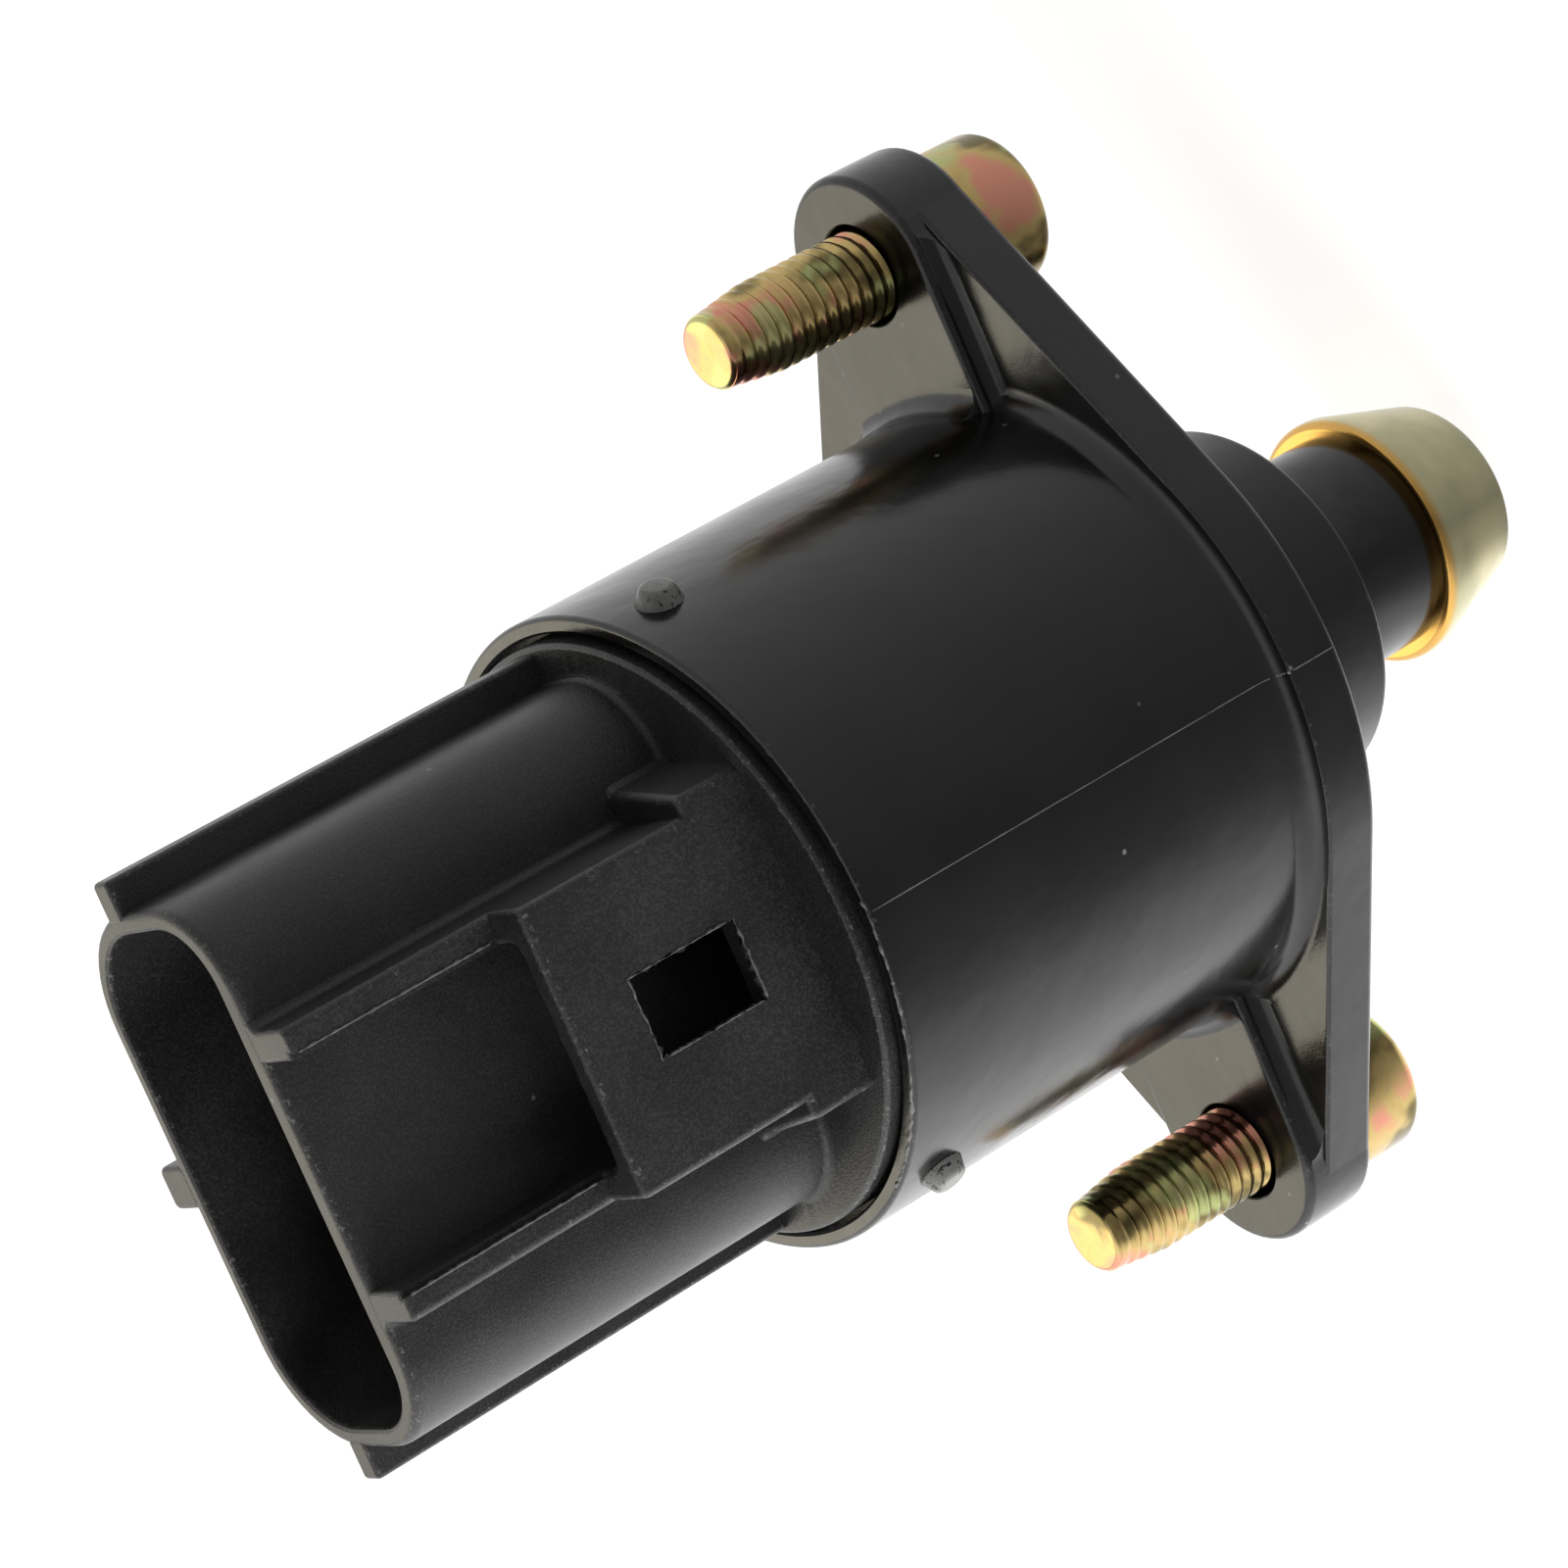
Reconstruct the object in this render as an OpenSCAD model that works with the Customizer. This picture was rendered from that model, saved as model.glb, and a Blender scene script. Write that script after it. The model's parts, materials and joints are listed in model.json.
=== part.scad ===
// Idle air control valve: a stepper motor in a flanged plastic body drives a metal
// pintle through a lead screw. Z is the valve's axis, from the pintle up to the plug
// socket, and the origin is the middle of the mounting face. The latch faces -Y and
// the two ears lie along X. All sizes are in millimetres.

/* [Body] */
// Wall of the body round the motor
body_wall = 1.8; // [1.5:0.1:2.2]
// Wall of the rim that stands round the cap's disc
rim_wall = 0.9; // [0.7:0.1:1.2]
// Depth of the recess that takes the cap's disc
rim_depth = 2.4; // [2:0.1:3.2]
// Height of the motor bay's floor over the mounting face
bay_floor_z = 4.6; // [4.2:0.1:5.5]
// Radius of the fillet between the body and its flange
base_fillet = 1.0; // [0.5:0.1:1.2]
// Distance of the two snap pips from the body's rim
pip_drop = 3.2; // [3:0.1:6]
// Radius of a pip at its root
pip_r = 1.25; // [0.8:0.05:1.6]
// Height of a pip over the body
pip_h = 0.9; // [0.5:0.1:1.5]
// Angle of the pip on the +X side from the latch side
pip_angle_plus = 68.5; // [55:0.5:80]
// Angle of the pip on the -X side from the latch side
pip_angle_minus = 58.5; // [55:0.5:80]

/* [Flange] */
// Thickness of the mounting flange
flange_t = 3.5; // [3:0.1:4.2]
// How far the flange reaches beyond the body at its waist
flange_lip = 1.3; // [1.25:0.05:2.5]
// Radius of the ears round the screw holes
ear_r = 5.4; // [5:0.1:6.5]
// Thickness of the raised arms and ears
ear_t = 4.8; // [4.3:0.1:6]
// Distance between the two screw holes
hole_span = 50.5; // [49:0.5:56]
// Radius of a screw hole
hole_r = 2.8; // [2.7:0.05:3.2]

/* [Nose] */
// Radius of the nose that enters the throttle body
nose_r = 10.25; // [10:0.05:11]
// Length of the nose below the mounting face
nose_len = 10; // [8.5:0.5:10.5]
// Height of the nose bore's end over the mounting face
nose_bore_top = 1.5; // [1:0.1:2]
// Thickness of the web between the nose bore and the front bearing
web_t = 1.5; // [1:0.1:2]
// Rounding of the nose's edge
nose_edge = 0.5; // [0.2:0.1:0.8]

/* [Cap and plug socket] */
// How far the cap's disc stands over the body's rim
disc_proud = 0.65; // [0.3:0.05:1]
// Gap between the cap's disc and the body's rim
disc_gap = 0.3; // [0.2:0.05:0.5]
// Thickness of the cap's roof
roof_t = 2.2; // [1.6:0.1:2.6]
// Height of the cap's skirt below its disc
skirt_h = 3.3; // [3.2:0.1:5]
// Wall of the cap's skirt
plug_wall = 3.1; // [3:0.1:3.6]
// Height of the socket over the disc
socket_h = 26.45; // [24:0.05:32]
// Depth of the socket
socket_depth = 16.7; // [14:0.1:18]
// Thickness of the floor that carries the terminals
socket_floor_t = 2.0; // [1.6:0.1:2.6]
// Half of the socket's outside length
socket_half_x = 14.25; // [14:0.05:14.8]
// Distance of the socket's front face from the axis
socket_front = 7.1; // [6.8:0.05:7.6]
// Distance of the socket's back face from the axis
socket_back = 6.3; // [6:0.05:6.8]
// Radius of the socket's front corners
front_corner_r = 4.8; // [3.5:0.1:5.5]
// Radius of the socket's back corners
back_corner_r = 5.8; // [4:0.1:6]
// Wall of the socket
socket_wall = 1.1; // [0.9:0.05:1.5]
// How much thicker the socket's wall is on the latch side
front_extra = 0.35; // [0.2:0.05:0.6]
// Reach of the fin on each end of the socket
fin_reach = 1.7; // [1:0.05:1.8]
// Thickness of an end fin
fin_t = 1.5; // [1:0.1:2]
// Distance of the fins behind the axis
fin_y = 1.1; // [0:0.1:1.5]
// Width of the key rib on the back
key_w = 2.3; // [1.5:0.1:3]
// Height of the key rib
key_h = 2.0; // [1:0.1:2.5]

/* [Latch] */
// Distance between the two latch rails
rail_gap = 11.9; // [11:0.1:13]
// Width of a latch rail
rail_w = 1.65; // [1.3:0.05:2]
// Height of the rails over the socket
rail_h = 2.9; // [2.4:0.1:3.6]
// Height of the bridge's top over the socket
bridge_h = 5.8; // [5.7:0.1:6.5]
// Thickness of the bridge plate
bridge_t = 1.5; // [1.2:0.1:1.5]
// Length of the bridge from the disc
bridge_len = 14.15; // [12:0.05:17]
// Width of the window in the bridge
window_w = 4.4; // [4.3:0.1:5]
// Length of the window in the bridge
window_len = 6.7; // [5:0.1:7]
// Distance of the window from the disc
window_z = 3.55; // [3:0.05:4.5]
// Length of the haunch on each side of the bridge
haunch_len = 3.8; // [3:0.1:5]
// Width of a haunch outside the bridge, at the bridge's face
haunch_w = 1.0; // [0.4:0.1:1.2]
// Width of a haunch at its foot on the socket
haunch_foot_w = 1.7; // [1.3:0.1:2]

/* [Seals] */
// Cord radius of the seal round the cap
cap_seal_cord = 0.9; // [0.8:0.05:0.95]
// Cord radius of the seal on the mounting face
face_seal_cord = 0.9; // [0.7:0.05:1]
// Distance of the mounting face's seal from the nose
face_seal_space = 3.75; // [3.2:0.05:4.2]
// Height of the wiper ring in the nose
wiper_h = 1.5; // [1:0.1:2]
// Radial depth of the wiper's groove
wiper_depth = 1.1; // [0.8:0.1:1.4]
// Wall between a seal's groove and the end of the nose or the cap
groove_wall = 0.6; // [0.5:0.1:0.8]

/* [Pintle] */
// Wall of the pintle's sleeve
skirt_wall = 0.6; // [0.5:0.05:0.7]
// Distance that the pintle draws back from the modelled place
travel = 7.5; // [6.5:0.5:8]
// Gap between the sleeve and the nose's bore
skirt_gap = 0.5; // [0.4:0.05:0.7]
// Distance of the rim below the nose when the valve is nearly closed
pintle_reach = 8.1; // [7.6:0.1:9.5]
// How far the pintle's rim stands out over its sleeve
rim_lip = 0.9; // [0.6:0.1:1.2]
// Length of the pintle's head below the rim
head_len = 7.1; // [6:0.1:9]
// Half angle of the pintle's cone
cone_angle = 17; // [15:1:22]
// Rounding of the pintle's tip
tip_round = 1.4; // [0.6:0.1:1.6]
// Rounding of the rim
rim_round = 0.5; // [0.2:0.05:0.5]
// Height of the pintle's spigot, which enters the sleeve
floor_rise = 1.5; // [1:0.1:2]

/* [Lead screw and spring] */
// Radius of the lead screw
lead_r = 2.0; // [1.8:0.05:2.1]
// Half distance between the lead screw's two flats
lead_flat = 1.6; // [1.4:0.05:1.7]
// Depth of the lead screw's seat in the pintle
lead_seat = 5; // [3:0.5:5.5]
// Radius of the guide bush
guide_r = 4.1; // [3.8:0.1:4.2]
// Length of the guide bush below the nose bore's end
guide_len = 6.5; // [4:0.5:7]
// Thickness of the guide bush's collar
collar_t = 0.8; // [0.6:0.1:1]
// Space for the spring between the guide bush and the sleeve
spring_space = 1.5; // [1.3:0.05:1.7]
// Radius of the spring's wire
wire_r = 0.4; // [0.3:0.05:0.45]
// Number of turns in the spring
spring_turns = 7; // [5:1:8]

/* [Front bearing] */
// Radius of the bearing's bore
bearing_bore_r = 3.0; // [2.9:0.05:3.1]
// Width of the bearing
bearing_w = 3.5; // [3:0.1:4]
// Radial thickness of each race
race_t = 1.1; // [1:0.05:1.2]
// Radial space between the two races
race_space = 1.3; // [1.2:0.05:1.45]
// Wall of the body round the bearing
pocket_wall = 1.45; // [1.2:0.05:1.7]
// Radius of a ball
ball_r = 0.95; // [0.85:0.05:1]
// Number of balls
ball_count = 8; // [6:1:9]
// Thickness of the wave washer's steel
wave_t = 0.2; // [0.15:0.05:0.25]
// Free height of the wave washer
wave_h = 0.5; // [0.45:0.05:0.7]

/* [Motor] */
// Height of one coil stack
stack_h = 9.0; // [8.5:0.1:10.5]
// Thickness of the steel cups and plates
cup_t = 0.9; // [0.7:0.05:1]
// Gap between the rotor and the claws
air_gap = 0.3; // [0.25:0.05:0.4]
// Claws on each cup or plate
claw_count = 6; // [5:1:7]
// Width of a claw at its root
claw_root_w = 3.4; // [3:0.1:3.6]
// Width of a claw at its tip
claw_tip_w = 1.7; // [1.2:0.1:2]
// Thickness of the bobbins' walls
bobbin_t = 0.65; // [0.5:0.05:0.8]
// Radial depth of a winding
winding_depth = 3.55; // [3.2:0.05:4]
// Radius of the rotor hub under the magnet
hub_r = 4.5; // [4.2:0.1:4.8]
// Thickness of the rear plate
rear_plate_t = 1.0; // [0.8:0.1:1.4]
// Height of the rear plate's collar
rear_collar_h = 1.2; // [0.8:0.1:1.6]
// Wall of the rear plate's collar
rear_collar_wall = 1.2; // [0.8:0.1:1.4]
// Outer radius of the rear bush
rear_bush_r = 4.6; // [4.2:0.1:5]
// Thickness of the terminal carrier
carrier_t = 0.8; // [0.6:0.1:1.2]
// Thickness of the carrier's ribs between the terminals' feet
rib_t = 0.8; // [0.6:0.1:1.2]
// Length of the carrier's ribs
rib_len = 6.0; // [4:0.5:8]

/* [Terminals] */
// Distance between two terminals
pitch = 5.0; // [4.8:0.1:5.2]
// Width of a terminal's blade
blade_w = 2.8; // [2.2:0.1:3]
// Thickness of a terminal
blade_t = 0.8; // [0.6:0.05:0.8]
// Depth of the blade tips below the socket's mouth
blade_drop = 5.2; // [4:0.1:7]
// Width of a terminal's foot
foot_w = 2.0; // [1.6:0.1:2]
// Radius of a coil pin
pin_r = 0.35; // [0.3:0.05:0.4]

/* [Mounting screws] */
// Radius of a screw's thread
screw_r = 2.5; // [2.4:0.05:2.6]
// Length of a screw under its head
screw_len = 15.4; // [12:0.1:20]
// Radius of the plain neck that passes through the ear
neck_r = 2.3; // [2.1:0.05:2.4]
// Length of a screw's tapered end
taper_len = 3.6; // [2:0.1:5]
// Radius of a screw's end face
end_r = 2.0; // [1.6:0.1:2.2]
// Radius of a screw's head
head_r = 4.25; // [4:0.05:4.7]
// Height of a screw's head
head_h = 5.0; // [4:0.1:5.5]
// Width across the flats of the socket in a screw's head
hex_w = 4.0; // [3:0.5:4.5]

/* [Hidden] */
$fn = 96;
// A cut runs this far past the face that it opens
over = 1;
// Clearance of a piece that is seated in another
seat_gap = 0.05;
// Clearance of a shaft or ball that turns
run_gap = 0.05;
// End clearance between pieces that turn past each other
end_gap = 0.2;
// Clearance of the lead screw in its nut and its guide
lead_gap = 0.1;
// Clearance of the coil pins between the windings and the cups
pin_gap = 0.2;
// Length by which a small feature sinks into the wall that carries it
sunk = 0.2;
// Clearance of the spring's seat inside the pintle's sleeve
spring_gap = 0.3;
// Steps in a rounded edge
arc_steps = 5;

// Heights along the axis, from the nose up
pocket_z = nose_bore_top + web_t;
bearing_z = pocket_z + wave_h;
bearing_top_z = bearing_z + bearing_w;
bearing_mid_z = bearing_z + bearing_w / 2;
motor_mid_z = bay_floor_z + stack_h;
motor_top_z = bay_floor_z + 2 * stack_h;
rear_plate_top_z = motor_top_z + rear_plate_t;
carrier_top_z = rear_plate_top_z + carrier_t;
foot_top_z = carrier_top_z + blade_t;
cap_bottom_z = foot_top_z + end_gap;
ledge_z = cap_bottom_z + skirt_h;
rim_z = ledge_z + rim_depth;
disc_top_z = rim_z + disc_proud;
roof_z = disc_top_z - roof_t;
mouth_z = disc_top_z + socket_h;
socket_z = mouth_z - socket_depth;
blade_tip_z = mouth_z - blade_drop;

// Radii round the axis, from the lead screw out
hub_bore_r = lead_r + lead_gap;
journal_r = bearing_bore_r - run_gap;
inner_race_r = bearing_bore_r + race_t;
outer_race_r = inner_race_r + race_space;
bearing_r = outer_race_r + race_t;
ball_ring_r = (inner_race_r + outer_race_r) / 2;
pocket_r = bearing_r + seat_gap;
magnet_r = pocket_r + pocket_wall;
claw_in_r = magnet_r + air_gap;
claw_out_r = claw_in_r + cup_t;
bobbin_in_r = claw_out_r + 2 * seat_gap;
winding_in_r = bobbin_in_r + bobbin_t;
winding_out_r = winding_in_r + winding_depth;
pin_ring_r = winding_out_r + pin_gap + pin_r;
pin_hole_r = pin_r + 0.3;
bobbin_out_r = pin_ring_r + pin_r + pin_gap;
can_in_r = bobbin_out_r + 2 * seat_gap;
can_r = can_in_r + cup_t;
bay_r = can_r + 2 * seat_gap;
body_r = bay_r + body_wall;
recess_r = body_r - rim_wall;
disc_r = recess_r - disc_gap;
plug_r = bay_r - 2 * seat_gap;
cavity_r = plug_r - plug_wall;
flange_r = body_r + flange_lip;
arm_fillet = max(0.1, ear_t - flange_t - 0.3);

// Radii of the pintle and the nose, from the guide bush out
skirt_in_r = guide_r + spring_space;
skirt_r = skirt_in_r + skirt_wall;
rim_r = skirt_r + rim_lip;
nose_bore_r = skirt_r + skirt_gap;
wiper_groove_r = nose_bore_r + wiper_depth;
wiper_z = -nose_len + groove_wall;

// Heights of the moving pieces
pintle_rim_z = -nose_len - pintle_reach;
pintle_tip_z = pintle_rim_z - head_len;
skirt_top_z = nose_bore_top - collar_t - end_gap - travel;
lead_top_z = rear_plate_top_z - 3 * end_gap - travel;
pintle_floor_z = pintle_rim_z + floor_rise;
hub_z0 = pocket_z + 2 * end_gap;
shoulder_z0 = bearing_top_z + end_gap;
bush_z0 = motor_top_z - rear_collar_h;
shoulder_z1 = bush_z0 - end_gap;
hub_z1 = rear_plate_top_z - end_gap;
magnet_inset = 0.6;

// Seal grooves
cap_groove_w = 2 * cap_seal_cord + 0.3;
cap_groove_z = cap_bottom_z + groove_wall;
cap_seal_r = bay_r - seat_gap - cap_seal_cord;
cap_groove_r = cap_seal_r - cap_seal_cord - seat_gap;
face_seal_r = nose_r + face_seal_space;
face_groove_depth = 1.4 * face_seal_cord;
face_groove_w = 2 * face_seal_cord + 0.4;

// Plug socket and latch, with the front face towards -Y
socket_mid_y = (socket_back - socket_front) / 2;
rail_in = rail_gap / 2;
rail_out = rail_in + rail_w;
rail_y = -socket_front - rail_h;
bridge_y = -socket_front - bridge_h;
cavity_front_y = -socket_front + socket_wall + front_extra;
// The pins of the front coil come up on the inner pair of terminals
front_pin_x = [-pitch / 2, pitch / 2];
rear_pin_x = [-1.5 * pitch, 1.5 * pitch];
all_pin_x = concat(front_pin_x, rear_pin_x);

// Points of an arc about (cx, cy), from angle a0 to a1
function arc(cx, cy, r, a0, a1) =
    [for (i = [0:arc_steps])
        let (a = a0 + (a1 - a0) * i / arc_steps) [cx + r * cos(a), cy + r * sin(a)]];

// Y of a coil pin that stands at x on the pin circle
function pin_y(x) = sqrt(pin_ring_r * pin_ring_r - x * x);

// A round ring between two radii and two heights
module ring(r_in, r_out, z0, z1) {
    rotate_extrude()
        translate([r_in, z0]) square([r_out - r_in, z1 - z0]);
}

// Flange outline: a round waist joined to two ears by straight sides
module flange_outline() {
    half = hole_span / 2;
    tangent = acos((flange_r - ear_r) / half);
    circle(r = flange_r);
    for (side = [-1, 1]) {
        translate([side * half, 0]) circle(r = ear_r);
        polygon([
            [side * flange_r * cos(tangent), flange_r * sin(tangent)],
            [side * (half + ear_r * cos(tangent)), ear_r * sin(tangent)],
            [side * (half + ear_r * cos(tangent)), -ear_r * sin(tangent)],
            [side * flange_r * cos(tangent), -flange_r * sin(tangent)]
        ]);
    }
}

// Raised arms that run from the body to the two ears
module arm_outline() {
    for (side = [-1, 1])
        translate([side * hole_span / 2, 0]) circle(r = ear_r);
    square([hole_span, 2 * ear_r], center = true);
}

// Fillets between the arms' sides and the flange
module arm_fillets() {
    reach = hole_span / 2 + ear_r;
    foot = ear_r + arm_fillet;
    intersection() {
        linear_extrude(ear_t) flange_outline();
        for (turn = [0, 180])
            rotate([0, 0, turn]) translate([-reach, 0, 0]) rotate([90, 0, 90])
                linear_extrude(2 * reach) polygon(concat(
                    [[ear_r - sunk, flange_t - sunk], [foot, flange_t - sunk]],
                    arc(foot, flange_t + arm_fillet, arm_fillet, 270, 180),
                    [[ear_r - sunk, flange_t + arm_fillet]]
                ));
    }
}

// Turned outside of the body and its nose
module body_outside() {
    edge = 0.3;
    rotate_extrude() polygon(concat(
        [[0, -nose_len]],
        arc(nose_r - nose_edge, -nose_len + nose_edge, nose_edge, -90, 0),
        [[nose_r, 0], [body_r + base_fillet, 0]],
        arc(body_r + base_fillet, flange_t + base_fillet, base_fillet, 270, 180),
        arc(body_r - edge, rim_z - edge, edge, 0, 90),
        [[0, rim_z]]
    ));
    linear_extrude(flange_t) flange_outline();
    linear_extrude(ear_t) arm_outline();
    arm_fillets();
    for (turn = [pip_angle_plus, -pip_angle_minus])
        rotate([0, 0, turn])
            translate([0, -body_r, rim_z - pip_drop])
                rotate([90, 0, 0]) pip();
}

// Snap pip: a short cone with a domed end
module pip() {
    dome = 0.4 * pip_h;
    rotate_extrude() polygon(concat(
        [[0, -sunk], [pip_r, -sunk], [pip_r, 0]],
        arc(0.8 * pip_r - dome, pip_h - dome, dome, 0, 90),
        [[0, pip_h]]
    ));
}

// Bores and pockets along the body's axis
module body_bores() {
    translate([0, 0, -nose_len - over])
        cylinder(h = nose_len + nose_bore_top + over, r = nose_bore_r);
    translate([0, 0, wiper_z]) cylinder(h = wiper_h, r = wiper_groove_r);
    translate([0, 0, nose_bore_top - over])
        cylinder(h = web_t + 2 * over, r = guide_r + seat_gap);
    translate([0, 0, pocket_z])
        cylinder(h = bearing_top_z - pocket_z + over, r = pocket_r);
    ring(magnet_r, bay_r, bay_floor_z, bearing_top_z);
    translate([0, 0, bearing_top_z])
        cylinder(h = rim_z - bearing_top_z + over, r = bay_r);
    translate([0, 0, ledge_z]) cylinder(h = rim_depth + over, r = recess_r);
}

module body_housing() {
    color("#26272a") difference() {
        body_outside();
        body_bores();
        for (side = [-1, 1])
            translate([side * hole_span / 2, 0, -over])
                cylinder(h = ear_t + 2 * over, r = hole_r);
        ring(
            face_seal_r - face_groove_w / 2, face_seal_r + face_groove_w / 2,
            -over, face_groove_depth
        );
    }
}

// Outline of the plug socket, drawn in by inset all round
module socket_outline(inset) {
    x = socket_half_x - inset;
    front = -socket_front + inset;
    back = socket_back - inset;
    rf = front_corner_r - inset;
    rb = back_corner_r - inset;
    for (side = [-1, 1]) {
        translate([side * (x - rf), front + rf]) circle(r = rf);
        translate([side * (x - rb), back - rb]) circle(r = rb);
    }
    polygon([
        [x, front + rf], [x, back - rb], [x - rb, back], [rb - x, back],
        [-x, back - rb], [-x, front + rf], [rf - x, front], [x - rf, front]
    ]);
}

// Rails, bridge and haunches that take the plug's latch
module latch() {
    root_y = -socket_front + socket_wall / 2;
    rail_side = root_y - rail_y;
    bridge_side = root_y - bridge_y;
    difference() {
        union() {
            for (side = [-1, 1]) {
                translate([side * (rail_in + rail_w / 2) - rail_w / 2, rail_y, disc_top_z])
                    cube([rail_w, rail_side, socket_h]);
                translate([side * (rail_in + rail_w / 2) - rail_w / 2, bridge_y, disc_top_z])
                    cube([rail_w, bridge_side, bridge_len]);
            }
            translate([-rail_out, bridge_y, disc_top_z])
                cube([2 * rail_out, bridge_t, bridge_len]);
        }
        translate([-window_w / 2, bridge_y - over, disc_top_z + window_z])
            cube([window_w, bridge_t + 2 * over, window_len]);
    }
    translate([0, 0, disc_top_z]) linear_extrude(haunch_len)
        for (side = [-1, 1])
            polygon([
                [side * (rail_out - sunk), root_y], [side * (rail_out - sunk), bridge_y],
                [side * (rail_out + haunch_w), bridge_y],
                [side * (rail_out + haunch_foot_w), -socket_front],
                [side * (rail_out + haunch_foot_w), root_y]
            ]);
}

module connector_cap() {
    neck_inset = 2 * socket_wall;
    color("#202124") difference() {
        union() {
            ring(0, disc_r, ledge_z, disc_top_z);
            ring(0, plug_r, cap_bottom_z, ledge_z);
            translate([0, 0, roof_z])
                linear_extrude(mouth_z - roof_z) socket_outline(0);
            latch();
            for (side = [-1, 1])
                translate([side * (socket_half_x - socket_wall / 2), fin_y - fin_t / 2, disc_top_z])
                    mirror([side < 0 ? 1 : 0, 0, 0])
                        cube([fin_reach + socket_wall / 2, fin_t, socket_h]);
            translate([-key_w / 2, socket_back - socket_wall / 2, disc_top_z])
                cube([key_w, key_h + socket_wall / 2, socket_h]);
        }
        translate([0, 0, socket_z]) linear_extrude(socket_depth + over)
            intersection() {
                socket_outline(socket_wall);
                translate([-socket_half_x, cavity_front_y])
                    square([2 * socket_half_x, socket_back - cavity_front_y]);
            }
        translate([0, 0, roof_z - over])
            linear_extrude(socket_z - socket_floor_t - roof_z + over)
                socket_outline(neck_inset);
        translate([0, 0, cap_bottom_z - over])
            cylinder(h = roof_z - cap_bottom_z + over, r = cavity_r);
        ring(cap_groove_r, plug_r + over, cap_groove_z, cap_groove_z + cap_groove_w);
        for (i = [0:3])
            translate([(i - 1.5) * pitch, socket_mid_y, socket_z])
                cube([blade_w, blade_t, 2 * socket_floor_t + over], center = true);
    }
}

module cap_seal() {
    color("#141414") rotate_extrude()
        translate([cap_seal_r, cap_groove_z + cap_groove_w / 2]) circle(r = cap_seal_cord);
}

module face_seal() {
    color("#141414") rotate_extrude()
        translate([face_seal_r, face_groove_depth - face_seal_cord]) circle(r = face_seal_cord);
}

// Wiper ring with a lip that leans on the pintle's skirt
module wiper_seal() {
    lip_r = skirt_r + run_gap;
    back_r = wiper_groove_r - seat_gap;
    z0 = wiper_z + seat_gap;
    z1 = wiper_z + wiper_h - seat_gap;
    mid_z = (z0 + z1) / 2;
    color("#161616") rotate_extrude() polygon([
        [back_r, z0], [back_r, z1], [nose_bore_r + 0.2, z1],
        [lip_r, mid_z + 0.15], [lip_r, mid_z - 0.15], [nose_bore_r + 0.2, z0]
    ]);
}

// Section of the lead screw: round with two flats
module lead_section(grow) {
    intersection() {
        circle(r = lead_r + grow);
        square([2 * (lead_r + grow), 2 * (lead_flat + grow)], center = true);
    }
}

module lead_screw() {
    seat_z = pintle_floor_z - lead_seat;
    color("#b9b4a4") {
        translate([0, 0, seat_z]) cylinder(h = lead_seat, r = lead_r);
        translate([0, 0, pintle_floor_z])
            linear_extrude(lead_top_z - pintle_floor_z) lead_section(0);
    }
}

// Bush that holds the lead screw by its flats and seats the spring
module guide_bush() {
    collar_r = skirt_in_r - spring_gap;
    color("#d8d2bd") difference() {
        union() {
            translate([0, 0, nose_bore_top - guide_len])
                cylinder(h = guide_len + web_t, r = guide_r);
            translate([0, 0, nose_bore_top - collar_t]) cylinder(h = collar_t, r = collar_r);
        }
        translate([0, 0, nose_bore_top - guide_len - over])
            linear_extrude(guide_len + web_t + 2 * over) lead_section(lead_gap);
    }
}

// Coil spring with its end turns closed
module pintle_spring() {
    z0 = pintle_floor_z + wire_r;
    z1 = nose_bore_top - collar_t - wire_r;
    coil_r = (guide_r + skirt_in_r) / 2;
    turn_steps = 20;
    sides = 8;
    rings = spring_turns * turn_steps;
    closed_rise = 2.1 * wire_r;
    open_rise = (z1 - z0 - 2 * closed_rise) / (spring_turns - 2);
    function rise(t) =
        t < 1 ? closed_rise * t :
        t > spring_turns - 1 ? z1 - z0 - closed_rise * (spring_turns - t) :
        closed_rise + open_rise * (t - 1);
    points = [for (i = [0:rings]) let (t = i / turn_steps, a = 360 * t) for (j = [0:sides - 1])
        let (b = 360 * j / sides, r = coil_r + wire_r * cos(b))
            [r * cos(a), r * sin(a), z0 + rise(t) + wire_r * sin(b)]];
    walls = [for (i = [0:rings - 1]) for (j = [0:sides - 1])
        let (k = (j + 1) % sides)
            [i * sides + j, i * sides + k, (i + 1) * sides + k, (i + 1) * sides + j]];
    first_end = [for (j = [sides - 1:-1:0]) j];
    last_end = [for (j = [0:sides - 1]) rings * sides + j];
    color("#9a9b9d")
        polyhedron(points = points, faces = concat(walls, [first_end, last_end]));
}

// Black sleeve between the pintle's head and the nose
module pintle_sleeve() {
    color("#3a3b3d") ring(skirt_in_r, skirt_r, pintle_rim_z, skirt_top_z);
}

// Turned head: a spigot, a narrow rim and a cone with a rounded tip
module pintle_head() {
    cone_z = pintle_rim_z - 2 * rim_round;
    round_z = pintle_tip_z + tip_round;
    cone_end_z = round_z - tip_round * sin(cone_angle);
    cone_end_r = rim_r - (cone_z - cone_end_z) * tan(cone_angle);
    tip_flat_r = cone_end_r - tip_round * cos(cone_angle);
    seat_r = lead_r + seat_gap / 2;
    spigot_r = skirt_in_r - seat_gap;
    color("#c9b878") rotate_extrude() polygon(concat(
        [[spigot_r, pintle_rim_z], [spigot_r, pintle_floor_z], [seat_r, pintle_floor_z]],
        [[seat_r, pintle_floor_z - lead_seat], [0, pintle_floor_z - lead_seat]],
        [[0, pintle_tip_z]],
        arc(tip_flat_r, round_z, tip_round, -90, -cone_angle),
        [[rim_r, cone_z]],
        arc(rim_r - rim_round, pintle_rim_z - rim_round, rim_round, 0, 90)
    ));
}

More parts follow.
